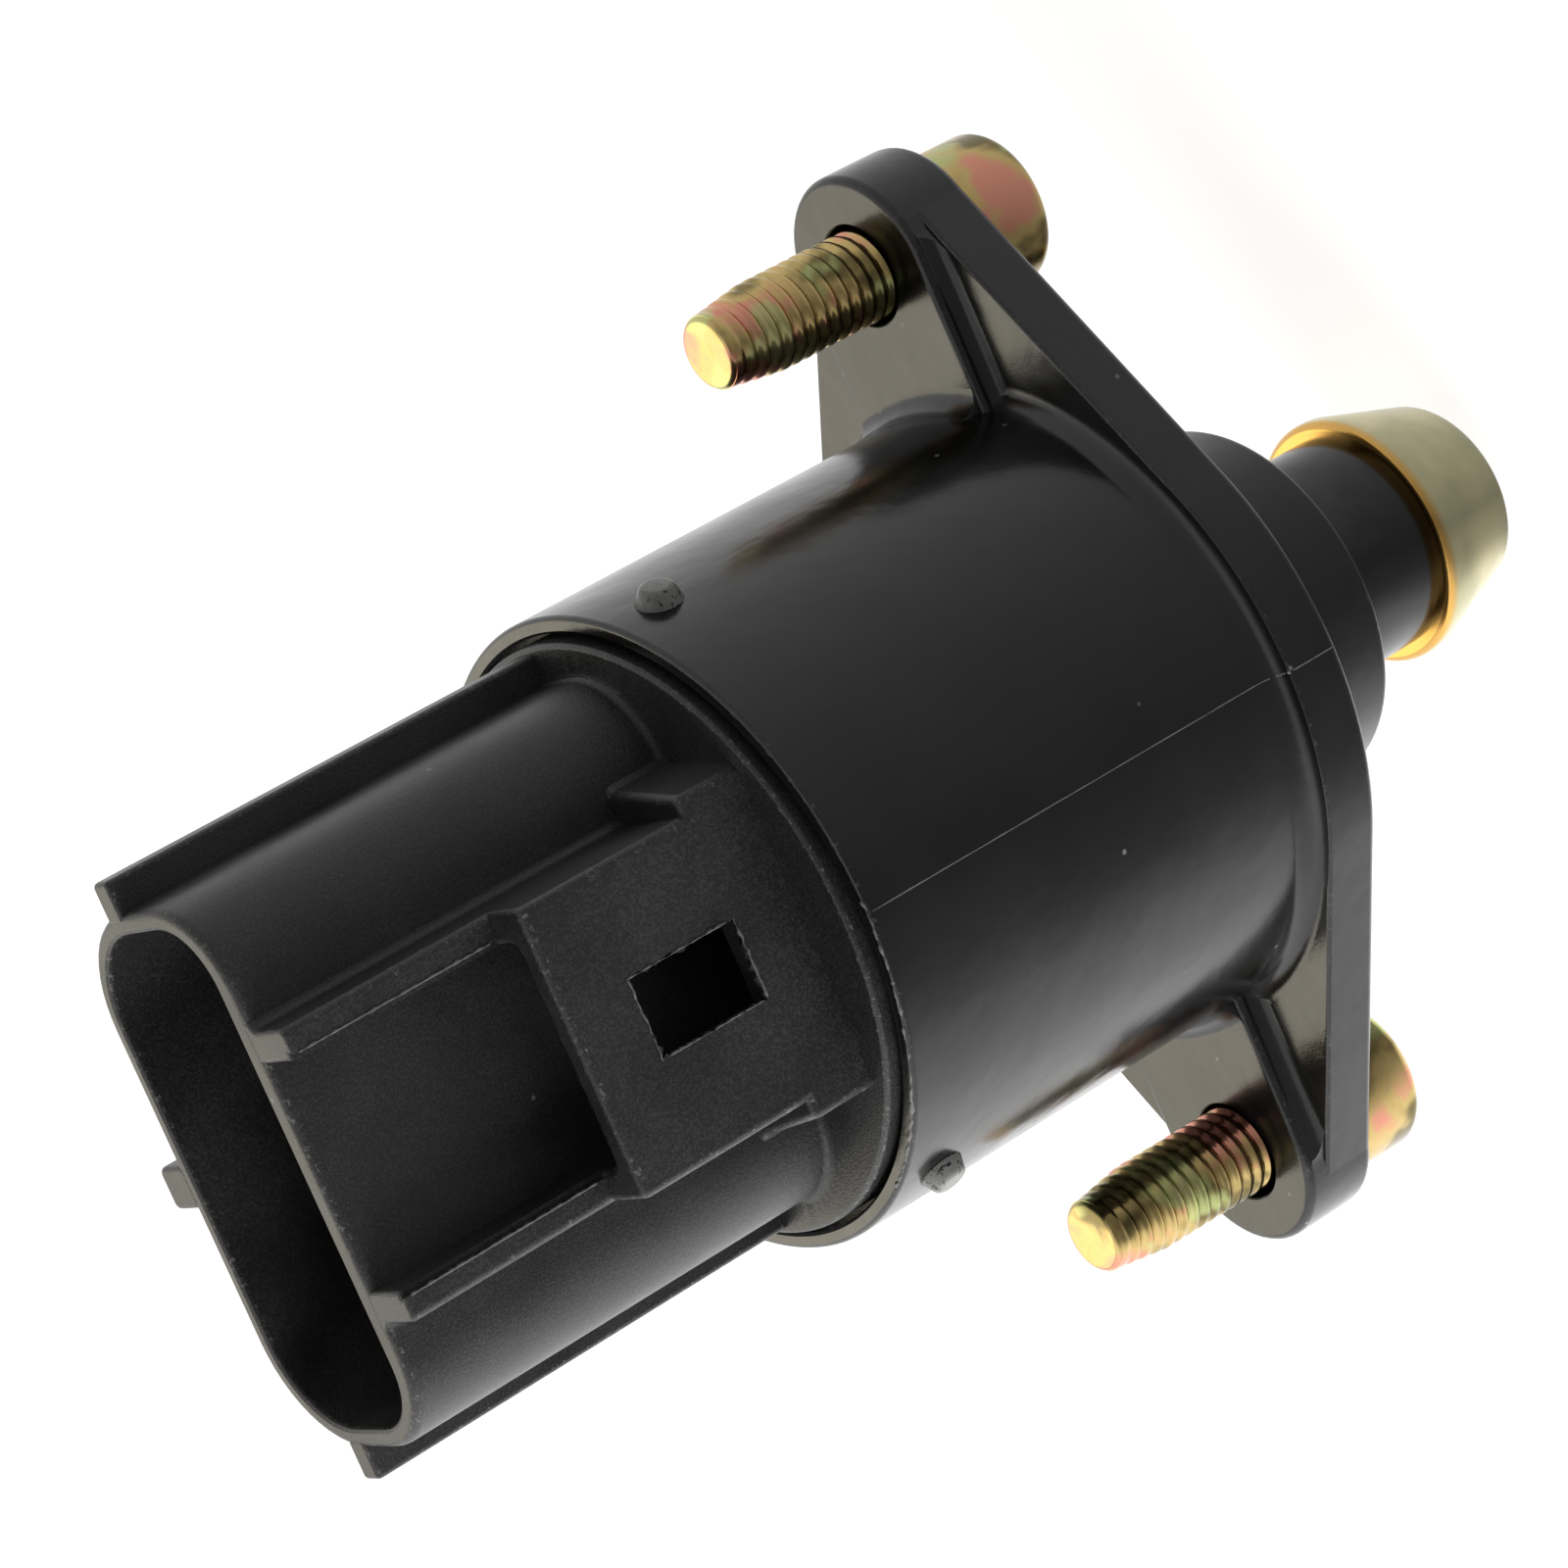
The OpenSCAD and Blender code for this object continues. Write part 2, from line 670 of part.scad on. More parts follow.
// Wave washer that loads the front bearing
module wave_washer() {
    steps = 48;
    waves = 3;
    r_in = outer_race_r;
    r_out = bearing_r - 0.1;
    swing = (wave_h - wave_t) / 2 - 0.01;
    mid_z = pocket_z + wave_h / 2;
    function lift(i) = mid_z + swing * sin(360 * waves * i / steps);
    points = [for (i = [0:steps - 1]) let (a = 360 * i / steps, z = lift(i)) each [
        [r_in * cos(a), r_in * sin(a), z - wave_t / 2],
        [r_out * cos(a), r_out * sin(a), z - wave_t / 2],
        [r_out * cos(a), r_out * sin(a), z + wave_t / 2],
        [r_in * cos(a), r_in * sin(a), z + wave_t / 2]
    ]];
    faces = [for (i = [0:steps - 1]) for (j = [0:3])
        let (n = (i + 1) % steps, k = (j + 1) % 4)
            [4 * i + j, 4 * i + k, 4 * n + k, 4 * n + j]];
    color("#a8a9ab") polyhedron(points = points, faces = faces);
}

// Race of the ball bearing, with a groove for the balls
module race(r_in, r_out) {
    rotate_extrude() difference() {
        translate([r_in, bearing_z]) square([r_out - r_in, bearing_w]);
        translate([ball_ring_r, bearing_mid_z]) circle(r = ball_r + run_gap);
    }
}

module bearing_outer_race() {
    color("#c4c6c8") race(outer_race_r, bearing_r);
}

module bearing_inner_race() {
    color("#c4c6c8") race(bearing_bore_r, inner_race_r);
}

// Spheres of a given radius at the balls' places
module ball_places(r) {
    for (i = [0:ball_count - 1])
        rotate([0, 0, 360 * i / ball_count])
            translate([ball_ring_r, 0, bearing_mid_z]) sphere(r = r);
}

module bearing_balls() {
    color("#dfe1e3") ball_places(ball_r);
}

module bearing_cage() {
    cage_t = outer_race_r - inner_race_r - 6 * run_gap;
    half_h = ball_r + 0.35;
    color("#b08d4a") difference() {
        ring(
            ball_ring_r - cage_t / 2, ball_ring_r + cage_t / 2,
            bearing_mid_z - half_h, bearing_mid_z + half_h
        );
        ball_places(ball_r + run_gap);
    }
}

// Threaded hub that carries the magnet and turns on two journals
module rotor_hub() {
    rear_journal_r = journal_r + 0.05;
    color("#e6e2d6") rotate_extrude() polygon([
        [hub_bore_r, hub_z0], [journal_r, hub_z0], [journal_r, shoulder_z0],
        [hub_r, shoulder_z0], [hub_r, shoulder_z1], [rear_journal_r, shoulder_z1],
        [rear_journal_r, hub_z1], [hub_bore_r, hub_z1]
    ]);
}

module rotor_magnet() {
    color("#3c3a39")
        ring(hub_r + seat_gap, magnet_r, shoulder_z0 + magnet_inset, shoulder_z1 - magnet_inset);
}

// Holes for coil pins at the given x places
module pin_holes(places, r, z0, z1) {
    for (x = places)
        translate([x, pin_y(x), z0]) cylinder(h = z1 - z0, r = r);
}

// Pole plate at z = 0 with claws that rise from its inner edge
module pole_plate(r_out) {
    claw_len = stack_h - 2 * cup_t - end_gap;
    ring(claw_in_r, r_out, 0, cup_t);
    intersection() {
        ring(claw_in_r, claw_out_r, 0, cup_t + claw_len);
        for (i = [0:claw_count - 1])
            rotate([0, 0, 360 * i / claw_count])
                rotate([90, 0, 90])
                    linear_extrude(claw_out_r + over) polygon([
                        [-claw_root_w / 2, 0], [claw_root_w / 2, 0],
                        [claw_tip_w / 2, cup_t + claw_len], [-claw_tip_w / 2, cup_t + claw_len]
                    ]);
    }
}

// Pole plate with the stack's outer wall on it
module pole_cup() {
    pole_plate(can_r);
    ring(can_in_r, can_r, 0, stack_h);
}

half_pole = 180 / claw_count;

module front_cup() {
    color("#9b9da0") translate([0, 0, bay_floor_z]) pole_cup();
}

module front_pole_plate() {
    color("#9b9da0") difference() {
        translate([0, 0, motor_mid_z])
            rotate([0, 0, half_pole]) mirror([0, 0, 1]) pole_plate(bobbin_out_r);
        pin_holes(front_pin_x, pin_hole_r, motor_mid_z - cup_t - over, motor_mid_z + over);
    }
}

module rear_pole_plate() {
    color("#9b9da0") difference() {
        translate([0, 0, motor_mid_z])
            rotate([0, 0, half_pole / 2]) pole_plate(bobbin_out_r);
        pin_holes(front_pin_x, pin_hole_r, motor_mid_z - over, motor_mid_z + cup_t + over);
    }
}

module rear_cup() {
    color("#9b9da0") difference() {
        translate([0, 0, motor_top_z])
            rotate([0, 0, 1.5 * half_pole]) mirror([0, 0, 1]) pole_cup();
        pin_holes(all_pin_x, pin_hole_r, motor_top_z - cup_t - over, motor_top_z + over);
    }
}

// Spool between the plates of the stack that starts at z
module bobbin(z) {
    z0 = z + cup_t;
    z1 = z + stack_h - cup_t;
    ring(bobbin_in_r, winding_in_r, z0, z1);
    ring(bobbin_in_r, bobbin_out_r, z0, z0 + bobbin_t);
    ring(bobbin_in_r, bobbin_out_r, z1 - bobbin_t, z1);
}

// Winding on the bobbin of the stack that starts at z
module winding(z) {
    ring(
        winding_in_r, winding_out_r,
        z + cup_t + bobbin_t, z + stack_h - cup_t - bobbin_t
    );
}

// Height at which the pins of the stack that starts at z begin
function pin_foot_z(z) = z + stack_h - cup_t - bobbin_t;

module front_bobbin() {
    color("#e8e4d8") difference() {
        bobbin(bay_floor_z);
        pin_holes(front_pin_x, pin_r, pin_foot_z(bay_floor_z), motor_mid_z);
    }
}

module rear_bobbin() {
    color("#e8e4d8") difference() {
        bobbin(motor_mid_z);
        pin_holes(front_pin_x, pin_hole_r, motor_mid_z, motor_top_z);
        pin_holes(rear_pin_x, pin_r, pin_foot_z(motor_mid_z), motor_top_z);
    }
}

module front_coil() {
    color("#b5622d") winding(bay_floor_z);
}

module rear_coil() {
    color("#b5622d") winding(motor_mid_z);
}

// Posts that carry the coil ends up to the terminals
module coil_pins() {
    color("#c9cbcd") {
        pin_holes(front_pin_x, pin_r, pin_foot_z(bay_floor_z), foot_top_z);
        pin_holes(rear_pin_x, pin_r, pin_foot_z(motor_mid_z), foot_top_z);
    }
}

// Plate that closes the motor and holds the rear bush in its collar
module rear_plate() {
    color("#8d9093") difference() {
        union() {
            ring(0, can_r, motor_top_z, rear_plate_top_z);
            ring(0, rear_bush_r + rear_collar_wall, bush_z0, rear_plate_top_z);
        }
        translate([0, 0, bush_z0 - over])
            cylinder(h = rear_plate_top_z - bush_z0 + 2 * over, r = rear_bush_r + seat_gap);
        pin_holes(all_pin_x, pin_hole_r, motor_top_z - over, rear_plate_top_z + over);
    }
}

module rear_bush() {
    color("#a9854b") ring(journal_r + 0.05 + run_gap, rear_bush_r, bush_z0, rear_plate_top_z);
}

// Insulating disc with ribs between the terminals' feet
module terminal_carrier() {
    color("#2f3136") difference() {
        union() {
            ring(0, can_r, rear_plate_top_z, carrier_top_z);
            for (x = [-pitch, 0, pitch])
                translate([x, pin_ring_r / 2, carrier_top_z])
                    cube([rib_t, rib_len, blade_t], center = true);
        }
        pin_holes(all_pin_x, pin_r + seat_gap, rear_plate_top_z - over, carrier_top_z + over);
    }
}

// Stamped terminal: a tab in the socket and a foot that runs to its coil pin
module terminal(i) {
    x = (i - 2.5) * pitch;
    y0 = socket_mid_y - blade_t / 2;
    y1 = socket_mid_y + blade_t / 2;
    foot_y = pin_y(x) + 0.9;
    lead_in = 1.0;
    bevel = 0.25;
    shoulder_z = socket_z - socket_floor_t - 2;
    color("#cfc9b8") translate([x, 0, 0]) difference() {
        intersection() {
            rotate([90, 0, 90]) translate([0, 0, -blade_w]) linear_extrude(2 * blade_w) polygon([
                [y0, carrier_top_z], [foot_y, carrier_top_z], [foot_y, foot_top_z],
                [y1, foot_top_z], [y1, blade_tip_z - lead_in], [y1 - bevel, blade_tip_z],
                [y0 + bevel, blade_tip_z], [y0, blade_tip_z - lead_in]
            ]);
            translate([0, foot_y + over, 0]) rotate([90, 0, 0])
                linear_extrude(foot_y + over + socket_front) polygon([
                    [-foot_w / 2, carrier_top_z], [foot_w / 2, carrier_top_z],
                    [foot_w / 2, shoulder_z], [blade_w / 2, shoulder_z],
                    [blade_w / 2, blade_tip_z - lead_in], [blade_w / 2 - 0.5, blade_tip_z],
                    [0.5 - blade_w / 2, blade_tip_z], [-blade_w / 2, blade_tip_z - lead_in],
                    [-blade_w / 2, shoulder_z], [-foot_w / 2, shoulder_z]
                ]);
        }
        translate([0, pin_y(x), carrier_top_z - over])
            cylinder(h = blade_t + 2 * over, r = pin_r + seat_gap);
    }
}

module terminal_1() { terminal(1); }
module terminal_2() { terminal(2); }
module terminal_3() { terminal(3); }
module terminal_4() { terminal(4); }

// Socket-head cap screw with a plain neck in the ear and a tapered end
module mounting_screw() {
    head_round = 0.4;
    neck_top = ear_t + 2 * seat_gap;
    difference() {
        rotate_extrude() polygon(concat(
            [[0, screw_len], [0, -head_h]],
            arc(head_r - head_round, -head_h + head_round, head_round, -90, 0),
            [[head_r, 0], [neck_r, 0], [neck_r, neck_top], [screw_r, neck_top]],
            [[screw_r, screw_len - taper_len], [end_r, screw_len]]
        ));
        translate([0, 0, -head_h - over])
            cylinder(h = head_h / 2 + over, r = hex_w / sqrt(3), $fn = 6);
    }
}

module mounting_screws() {
    color("#b8a95e") for (side = [-1, 1])
        translate([side * hole_span / 2, 0, 0]) mounting_screw();
}

body_housing();
connector_cap();
cap_seal();
face_seal();
wiper_seal();
guide_bush();
pintle_spring();
pintle_sleeve();
pintle_head();
lead_screw();
wave_washer();
bearing_outer_race();
bearing_inner_race();
bearing_balls();
bearing_cage();
rotor_hub();
rotor_magnet();
front_cup();
front_bobbin();
front_coil();
front_pole_plate();
rear_pole_plate();
rear_bobbin();
rear_coil();
rear_cup();
rear_plate();
rear_bush();
terminal_carrier();
coil_pins();
terminal_1();
terminal_2();
terminal_3();
terminal_4();
mounting_screws();
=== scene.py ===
"""Idle air control valve: the looks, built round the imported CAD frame.

Sizes are millimetres in the valve's own frame, as in the part's source: Z runs from the
pintle up to the plug socket, the ears lie along X and the latch faces -Y. Meshes are
made in metres.
"""
import json
import logging
import math
import random
from collections.abc import Sequence
from dataclasses import dataclass, replace
from enum import Enum
from typing import Any

import bmesh
import bpy
from mathutils import Matrix, Vector


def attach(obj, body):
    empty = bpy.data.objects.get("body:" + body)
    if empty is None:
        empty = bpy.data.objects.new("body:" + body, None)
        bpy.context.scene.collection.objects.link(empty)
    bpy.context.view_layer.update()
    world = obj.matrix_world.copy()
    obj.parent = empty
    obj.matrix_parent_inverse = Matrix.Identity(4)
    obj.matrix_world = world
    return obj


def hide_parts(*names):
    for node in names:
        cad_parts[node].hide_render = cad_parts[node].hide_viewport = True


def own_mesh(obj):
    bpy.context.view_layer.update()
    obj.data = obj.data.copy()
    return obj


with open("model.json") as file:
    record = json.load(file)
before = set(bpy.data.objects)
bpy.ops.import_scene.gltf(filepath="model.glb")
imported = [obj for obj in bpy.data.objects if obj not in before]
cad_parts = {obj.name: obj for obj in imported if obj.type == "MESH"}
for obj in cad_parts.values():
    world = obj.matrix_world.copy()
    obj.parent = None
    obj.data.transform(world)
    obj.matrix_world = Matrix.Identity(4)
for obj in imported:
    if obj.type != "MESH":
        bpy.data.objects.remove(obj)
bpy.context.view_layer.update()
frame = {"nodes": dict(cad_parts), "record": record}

MM = 0.001
LOG = logging.getLogger("air_valve")

Pair = tuple[float, float]
Point = tuple[float, float, float]
Outline = list[Pair]
Colour = tuple[float, float, float, float]
Socket = bpy.types.NodeSocket
Feed = float | int | bool | tuple | Socket


# Node trees and shared shader groups


class Desk:
    """Adds nodes to one tree and joins them."""

    def __init__(self, tree: bpy.types.NodeTree) -> None:
        """Take the tree to work on.

        Args:
            tree: a shader or geometry node tree.
        """
        self.tree = tree

    def add(self, kind: str, feeds: dict[str | int, Feed] | None = None, **settings: Any) -> bpy.types.Node:
        """Add one node, set it up and feed its inputs.

        Args:
            kind: the node's type name.
            feeds: a number, a vector or another node's socket for each named input.
            settings: the node's own properties.

        Returns:
            The new node.
        """
        node = self.tree.nodes.new(kind)
        for key, value in settings.items():
            setattr(node, key, value)
        for key, value in (feeds or {}).items():
            if isinstance(value, bpy.types.NodeSocket):
                self.tree.links.new(value, node.inputs[key])
            else:
                node.inputs[key].default_value = value
        return node

    def math(self, operation: str, a: Feed, b: Feed = 0.0, clamp: bool = False) -> Socket:
        """Return the result of a sum on one or two values.

        Args:
            operation: the Math node's operation.
            a: the first value.
            b: the second value.
            clamp: whether the result is kept between 0 and 1.

        Returns:
            The result's socket.
        """
        return self.add("ShaderNodeMath", {0: a, 1: b}, operation=operation, use_clamp=clamp).outputs[0]

    def span(self, value: Feed, low: float, high: float, to_low: float = 0.0, to_high: float = 1.0) -> Socket:
        """Return a value stretched smoothly from one range to another.

        Args:
            value: the value to stretch.
            low: the value that gives to_low.
            high: the value that gives to_high.
            to_low: the result at low.
            to_high: the result at high.

        Returns:
            The result's socket.
        """
        feeds = {0: value, 1: low, 2: high, 3: to_low, 4: to_high}
        return self.add("ShaderNodeMapRange", feeds, interpolation_type="SMOOTHSTEP").outputs[0]

    def blend(self, factor: Feed, first: Feed, second: Feed) -> Socket:
        """Return two colours mixed, with the factor as the second one's share."""
        return self.add("ShaderNodeMix", {0: factor, 6: first, 7: second}, data_type="RGBA").outputs[2]

    def scaled(self, vector: Feed, factor: Feed) -> Socket:
        """Return a vector or colour multiplied by a number."""
        return self.add("ShaderNodeVectorMath", {0: vector, "Scale": factor}, operation="SCALE").outputs[0]

    def noise(self, place: Socket, per_mm: Feed, detail: float = 2.0, rough: float = 0.5) -> Socket:
        """Return a cloudy value between 0 and 1.

        Args:
            place: the coordinates, in millimetres.
            per_mm: how many spots there are to a millimetre.
            detail: how many finer layers are laid over it.
            rough: how strong the finer layers are.

        Returns:
            The value's socket.
        """
        feeds = {"Vector": place, "Scale": per_mm, "Detail": detail, "Roughness": rough}
        return self.add("ShaderNodeTexNoise", feeds).outputs["Fac"]

    def place_mm(self) -> Socket:
        """Return the object's coordinates in millimetres."""
        return self.scaled(self.add("ShaderNodeTexCoord").outputs["Object"], 1 / MM)

    def from_axis(self, x: Socket, y: Socket) -> Socket:
        """Return the distance from the Z axis."""
        return self.math("SQRT", self.math("ADD", self.math("POWER", x, 2.0), self.math("POWER", y, 2.0)))


def new_group(name: str, takes: dict[str, float], gives: Sequence[str]) -> tuple[Desk, bpy.types.Node]:
    """Start a shader group with named inputs and outputs.

    Args:
        name: the group's name.
        takes: each input with its default value.
        gives: the names of the outputs.

    Returns:
        A desk for the group's tree and its input node.
    """
    tree = bpy.data.node_groups.new(name, "ShaderNodeTree")
    kind = "NodeSocketFloat"
    for label, value in takes.items():
        tree.interface.new_socket(name=label, in_out="INPUT", socket_type=kind).default_value = value
    for label in gives:
        tree.interface.new_socket(name=label, in_out="OUTPUT", socket_type=kind)
    desk = Desk(tree)
    return desk, desk.add("NodeGroupInput")


class Effects:
    """The shader groups that more than one finish uses, each built once."""

    def __init__(self) -> None:
        """Build every group."""
        self.grain = self._grain()
        self.wear = self._wear()
        self.dust = self._dust()
        self.turning = self._turning()

    @staticmethod
    def _grain() -> bpy.types.NodeTree:
        """Build the group for fine moulded or cast grain.

        Returns:
            The group: Height is the grain, Flow a slow change over the piece.
        """
        desk, takes = new_group("fine_grain", {"Size": 0.2, "Flow Size": 6.0}, ["Height", "Flow"])
        place = desk.place_mm()
        fine = desk.noise(place, desk.math("DIVIDE", 1.0, takes.outputs["Size"]), detail=3.0, rough=0.55)
        flow = desk.noise(place, desk.math("DIVIDE", 1.0, takes.outputs["Flow Size"]), detail=3.0)
        desk.add("NodeGroupOutput", {"Height": fine, "Flow": flow})
        return desk.tree

    @staticmethod
    def _wear() -> bpy.types.NodeTree:
        """Build the group that finds rubbed edges and painted edge highlights, from the rounding attribute.

        An attribute above 1 widens the patches: whole small tips, such as the pips, take the lighter colour
        as a painted highlight.

        Returns:
            The group: Mask is the share of the rubbed-edge and painted-highlight colour.
        """
        patch_from, patch_full, tip_highlight_widening = 0.56, 0.66, 0.2
        desk, takes = new_group("edge_wear_and_highlight", {"Amount": 0.5, "Size": 0.35}, ["Mask"])
        marks = desk.add("ShaderNodeAttribute", attribute_name="rounding", attribute_type="GEOMETRY")
        edge = marks.outputs["Fac"]
        per_mm = desk.math("DIVIDE", 1.0, takes.outputs["Size"])
        patch = desk.noise(desk.place_mm(), per_mm, detail=3.0, rough=0.7)
        # Above 1 the patches widen: a painted highlight over whole small tips.
        more = desk.math("MULTIPLY", desk.math("SUBTRACT", edge, 1.0, clamp=True), tip_highlight_widening)
        broken = desk.span(desk.math("ADD", patch, more), patch_from, patch_full)
        share = desk.math("MULTIPLY", broken, takes.outputs["Amount"])
        desk.add("NodeGroupOutput", {"Mask": desk.math("MULTIPLY", desk.math("POWER", edge, 2.0), share)})
        return desk.tree

    @staticmethod
    def _dust() -> bpy.types.NodeTree:
        """Build the group that scatters small specks.

        Returns:
            The group: Mask is 1 inside a speck.
        """
        speck_edge, speck_core = 0.09, 0.04
        desk, takes = new_group("dust_specks", {"Spacing": 2.0, "Share": 0.3}, ["Mask"])
        per_mm = desk.math("DIVIDE", 1.0, takes.outputs["Spacing"])
        cells = desk.add("ShaderNodeTexVoronoi", {"Vector": desk.place_mm(), "Scale": per_mm})
        red = desk.add("ShaderNodeSeparateColor", {0: cells.outputs["Color"]}).outputs[0]
        chosen = desk.math("LESS_THAN", red, takes.outputs["Share"])
        spot = desk.span(cells.outputs["Distance"], speck_edge, speck_core)
        desk.add("NodeGroupOutput", {"Mask": desk.math("MULTIPLY", chosen, spot)})
        return desk.tree

    @staticmethod
    def _turning() -> bpy.types.NodeTree:
        """Build the group for the fine rings that a lathe leaves round the Z axis.

        Returns:
            The group: Height is the rings, Tone a broad change from ring to ring.
        """
        broad_per_mm = 0.7
        desk, takes = new_group("lathe_rings", {"Pitch": 0.1}, ["Height", "Tone"])
        x, y, z = desk.add("ShaderNodeSeparateXYZ", {0: desk.place_mm()}).outputs
        across = desk.math("ADD", desk.from_axis(x, y), z)
        line = desk.add("ShaderNodeCombineXYZ", {0: across}).outputs[0]
        rings = desk.noise(line, desk.math("DIVIDE", 1.0, takes.outputs["Pitch"]), rough=0.6)
        broad = desk.noise(line, broad_per_mm, detail=1.0)
        desk.add("NodeGroupOutput", {"Height": rings, "Tone": broad})
        return desk.tree


# Geometry trees


def new_shaper(name: str, takes: dict[str, Feed]) -> tuple[Desk, bpy.types.Node]:
    """Start a geometry tree that changes a piece and paints the result.

    Args:
        name: the tree's name.
        takes: each input with its default, a number, a whole number or a vector.

    Returns:
        A desk for the tree and its input node.
    """
    tree = bpy.data.node_groups.new(name, "GeometryNodeTree")
    tree.interface.new_socket(name="Geometry", in_out="OUTPUT", socket_type="NodeSocketGeometry")
    tree.interface.new_socket(name="Geometry", in_out="INPUT", socket_type="NodeSocketGeometry")
    tree.interface.new_socket(name="Material", in_out="INPUT", socket_type="NodeSocketMaterial")
    kinds = {float: "NodeSocketFloat", int: "NodeSocketInt", tuple: "NodeSocketVector"}
    for label, value in takes.items():
        socket = tree.interface.new_socket(name=label, in_out="INPUT", socket_type=kinds[type(value)])
        socket.default_value = value
    desk = Desk(tree)
    return desk, desk.add("NodeGroupInput")


def end_shaper(desk: Desk, takes: bpy.types.Node, shape: Socket) -> None:
    """End a geometry tree with its instances made real and its material set.

    Args:
        desk: the tree's desk.
        takes: the tree's input node.
        shape: the geometry to hand out.
    """
    real = desk.add("GeometryNodeRealizeInstances", {0: shape}).outputs[0]
    painted = desk.add("GeometryNodeSetMaterial", {"Geometry": real, "Material": takes.outputs["Material"]})
    desk.add("NodeGroupOutput", {"Geometry": painted.outputs[0]})


class Shapers:
    """The geometry trees, each built once."""

    def __init__(self) -> None:
        """Build every tree."""
        self.screws = self._screws()
        self.bead = self._bead()

    @staticmethod
    def _screws() -> bpy.types.NodeTree:
        """Build the tree that cuts a thread round the Z axis and sets out the screws.

        Crest and Root are where a flank starts and ends, in pitches from the crest's
        middle. Lean turns the first screw of the row.

        Returns:
            The tree.
        """
        sizes = {"Pitch": 0.0008, "Depth": 0.0004, "Crest": 0.16, "Root": 0.46, "Low": 0.0, "High": 0.01,
                 "Run Out": 0.001, "Count": 2, "First": (0.0, 0.0, 0.0), "Step": (0.0, 0.0, 0.0),
                 "Lean": (0.0, 0.0, 0.0)}
        desk, takes = new_shaper("threaded_screws", sizes)
        feed = takes.outputs
        place = desk.add("GeometryNodeInputPosition").outputs[0]
        x, y, z = desk.add("ShaderNodeSeparateXYZ", {0: place}).outputs
        turn = desk.math("DIVIDE", desk.math("ARCTAN2", y, x), math.tau)
        climb = desk.math("SUBTRACT", desk.math("DIVIDE", z, feed["Pitch"]), turn)
        wave = desk.math("PINGPONG", climb, 0.5)
        flank = desk.add("ShaderNodeMapRange", {0: wave, 1: feed["Crest"], 2: feed["Root"]}).outputs[0]
        low = desk.math("DIVIDE", desk.math("SUBTRACT", z, feed["Low"]), feed["Run Out"], clamp=True)
        high = desk.math("DIVIDE", desk.math("SUBTRACT", feed["High"], z), feed["Run Out"], clamp=True)
        ends = desk.math("MULTIPLY", low, high)
        deep = desk.math("MULTIPLY", desk.math("MULTIPLY", flank, feed["Depth"]), ends)
        level = desk.add("ShaderNodeCombineXYZ", {0: x, 1: y}).outputs[0]
        outward = desk.add("ShaderNodeVectorMath", {0: level}, operation="NORMALIZE").outputs[0]
        inward = desk.scaled(outward, desk.math("MULTIPLY", deep, -1.0))
        cut = desk.add("GeometryNodeSetPosition", {"Geometry": feed["Geometry"], "Offset": inward}).outputs[0]
        row = {"Count": feed["Count"], "Start Location": feed["First"], "Offset": feed["Step"]}
        spots = desk.add("GeometryNodeMeshLine", row).outputs[0]
        index = desk.add("GeometryNodeInputIndex").outputs[0]
        first = desk.scaled(feed["Lean"], desk.math("LESS_THAN", index, 0.5))
        lean = desk.add("FunctionNodeEulerToRotation", {0: first}).outputs[0]
        seats = {"Points": spots, "Instance": cut, "Rotation": lean}
        end_shaper(desk, takes, desk.add("GeometryNodeInstanceOnPoints", seats).outputs[0])
        return desk.tree

    @staticmethod
    def _bead() -> bpy.types.NodeTree:
        """Build the tree that lays a thin, uneven bead of plastic along a path.

        Uneven is how much the radius swings about 1, Wander how far the bead strays and
        Spots how many swings there are to a metre.

        Returns:
            The tree.
        """
        noise_to_swing, corners = 4.0, 8
        sizes = {"Radius": 0.00005, "Step": 0.0002, "Uneven": 0.3, "Thinnest": 0.15, "Wander": 0.0,
                 "Spots": 2000.0, "Seed": 0.0}
        desk, takes = new_shaper("bead_on_path", sizes)
        feed = takes.outputs
        path = desk.add("GeometryNodeMeshToCurve", {"Mesh": feed["Geometry"]}).outputs[0]
        even = desk.add("GeometryNodeResampleCurve", {"Curve": path, "Length": feed["Step"]}, mode="LENGTH")
        place = desk.add("GeometryNodeInputPosition").outputs[0]
        shift = desk.add("ShaderNodeCombineXYZ", {0: feed["Seed"], 1: feed["Seed"]}).outputs[0]
        moved = desk.add("ShaderNodeVectorMath", {0: place, 1: shift}, operation="ADD").outputs[0]
        cloud = desk.add("ShaderNodeTexNoise", {"Vector": moved, "Scale": feed["Spots"], "Detail": 2.0})
        about = {0: cloud.outputs["Color"], 1: (0.5, 0.5, 0.5)}
        drift = desk.add("ShaderNodeVectorMath", about, operation="SUBTRACT").outputs[0]
        strayed = {"Geometry": even.outputs[0], "Offset": desk.scaled(drift, feed["Wander"])}
        bent = desk.add("GeometryNodeSetPosition", strayed).outputs[0]
        swing = desk.math("MULTIPLY", desk.math("SUBTRACT", cloud.outputs["Fac"], 0.5), feed["Uneven"])
        thick = desk.math("ADD", 1.0, desk.math("MULTIPLY", swing, noise_to_swing))
        ring = desk.add("GeometryNodeCurvePrimitiveCircle", {"Resolution": corners, "Radius": feed["Radius"]})
        tube = {"Curve": bent, "Profile Curve": ring.outputs[0],
                "Scale": desk.math("MAXIMUM", thick, feed["Thinnest"]), "Fill Caps": True}
        end_shaper(desk, takes, desk.add("GeometryNodeCurveToMesh", tube).outputs[0])
        return desk.tree


@dataclass(frozen=True)
class Bead:
    """A thin, uneven bead of plastic along a path, in millimetres."""

    radius: float = 0.036
    step: float = 0.2
    uneven: float = 0.5
    wander: float = 0.06
    spots_per_m: float = 900.0
    seed: float = 0.0

    def feeds(self) -> dict[str, float]:
        """Return the bead tree's inputs."""
        lengths = {"Radius": self.radius * MM, "Step": self.step * MM, "Wander": self.wander * MM}
        return {**lengths, "Uneven": self.uneven, "Spots": self.spots_per_m, "Seed": self.seed}


# Finishes


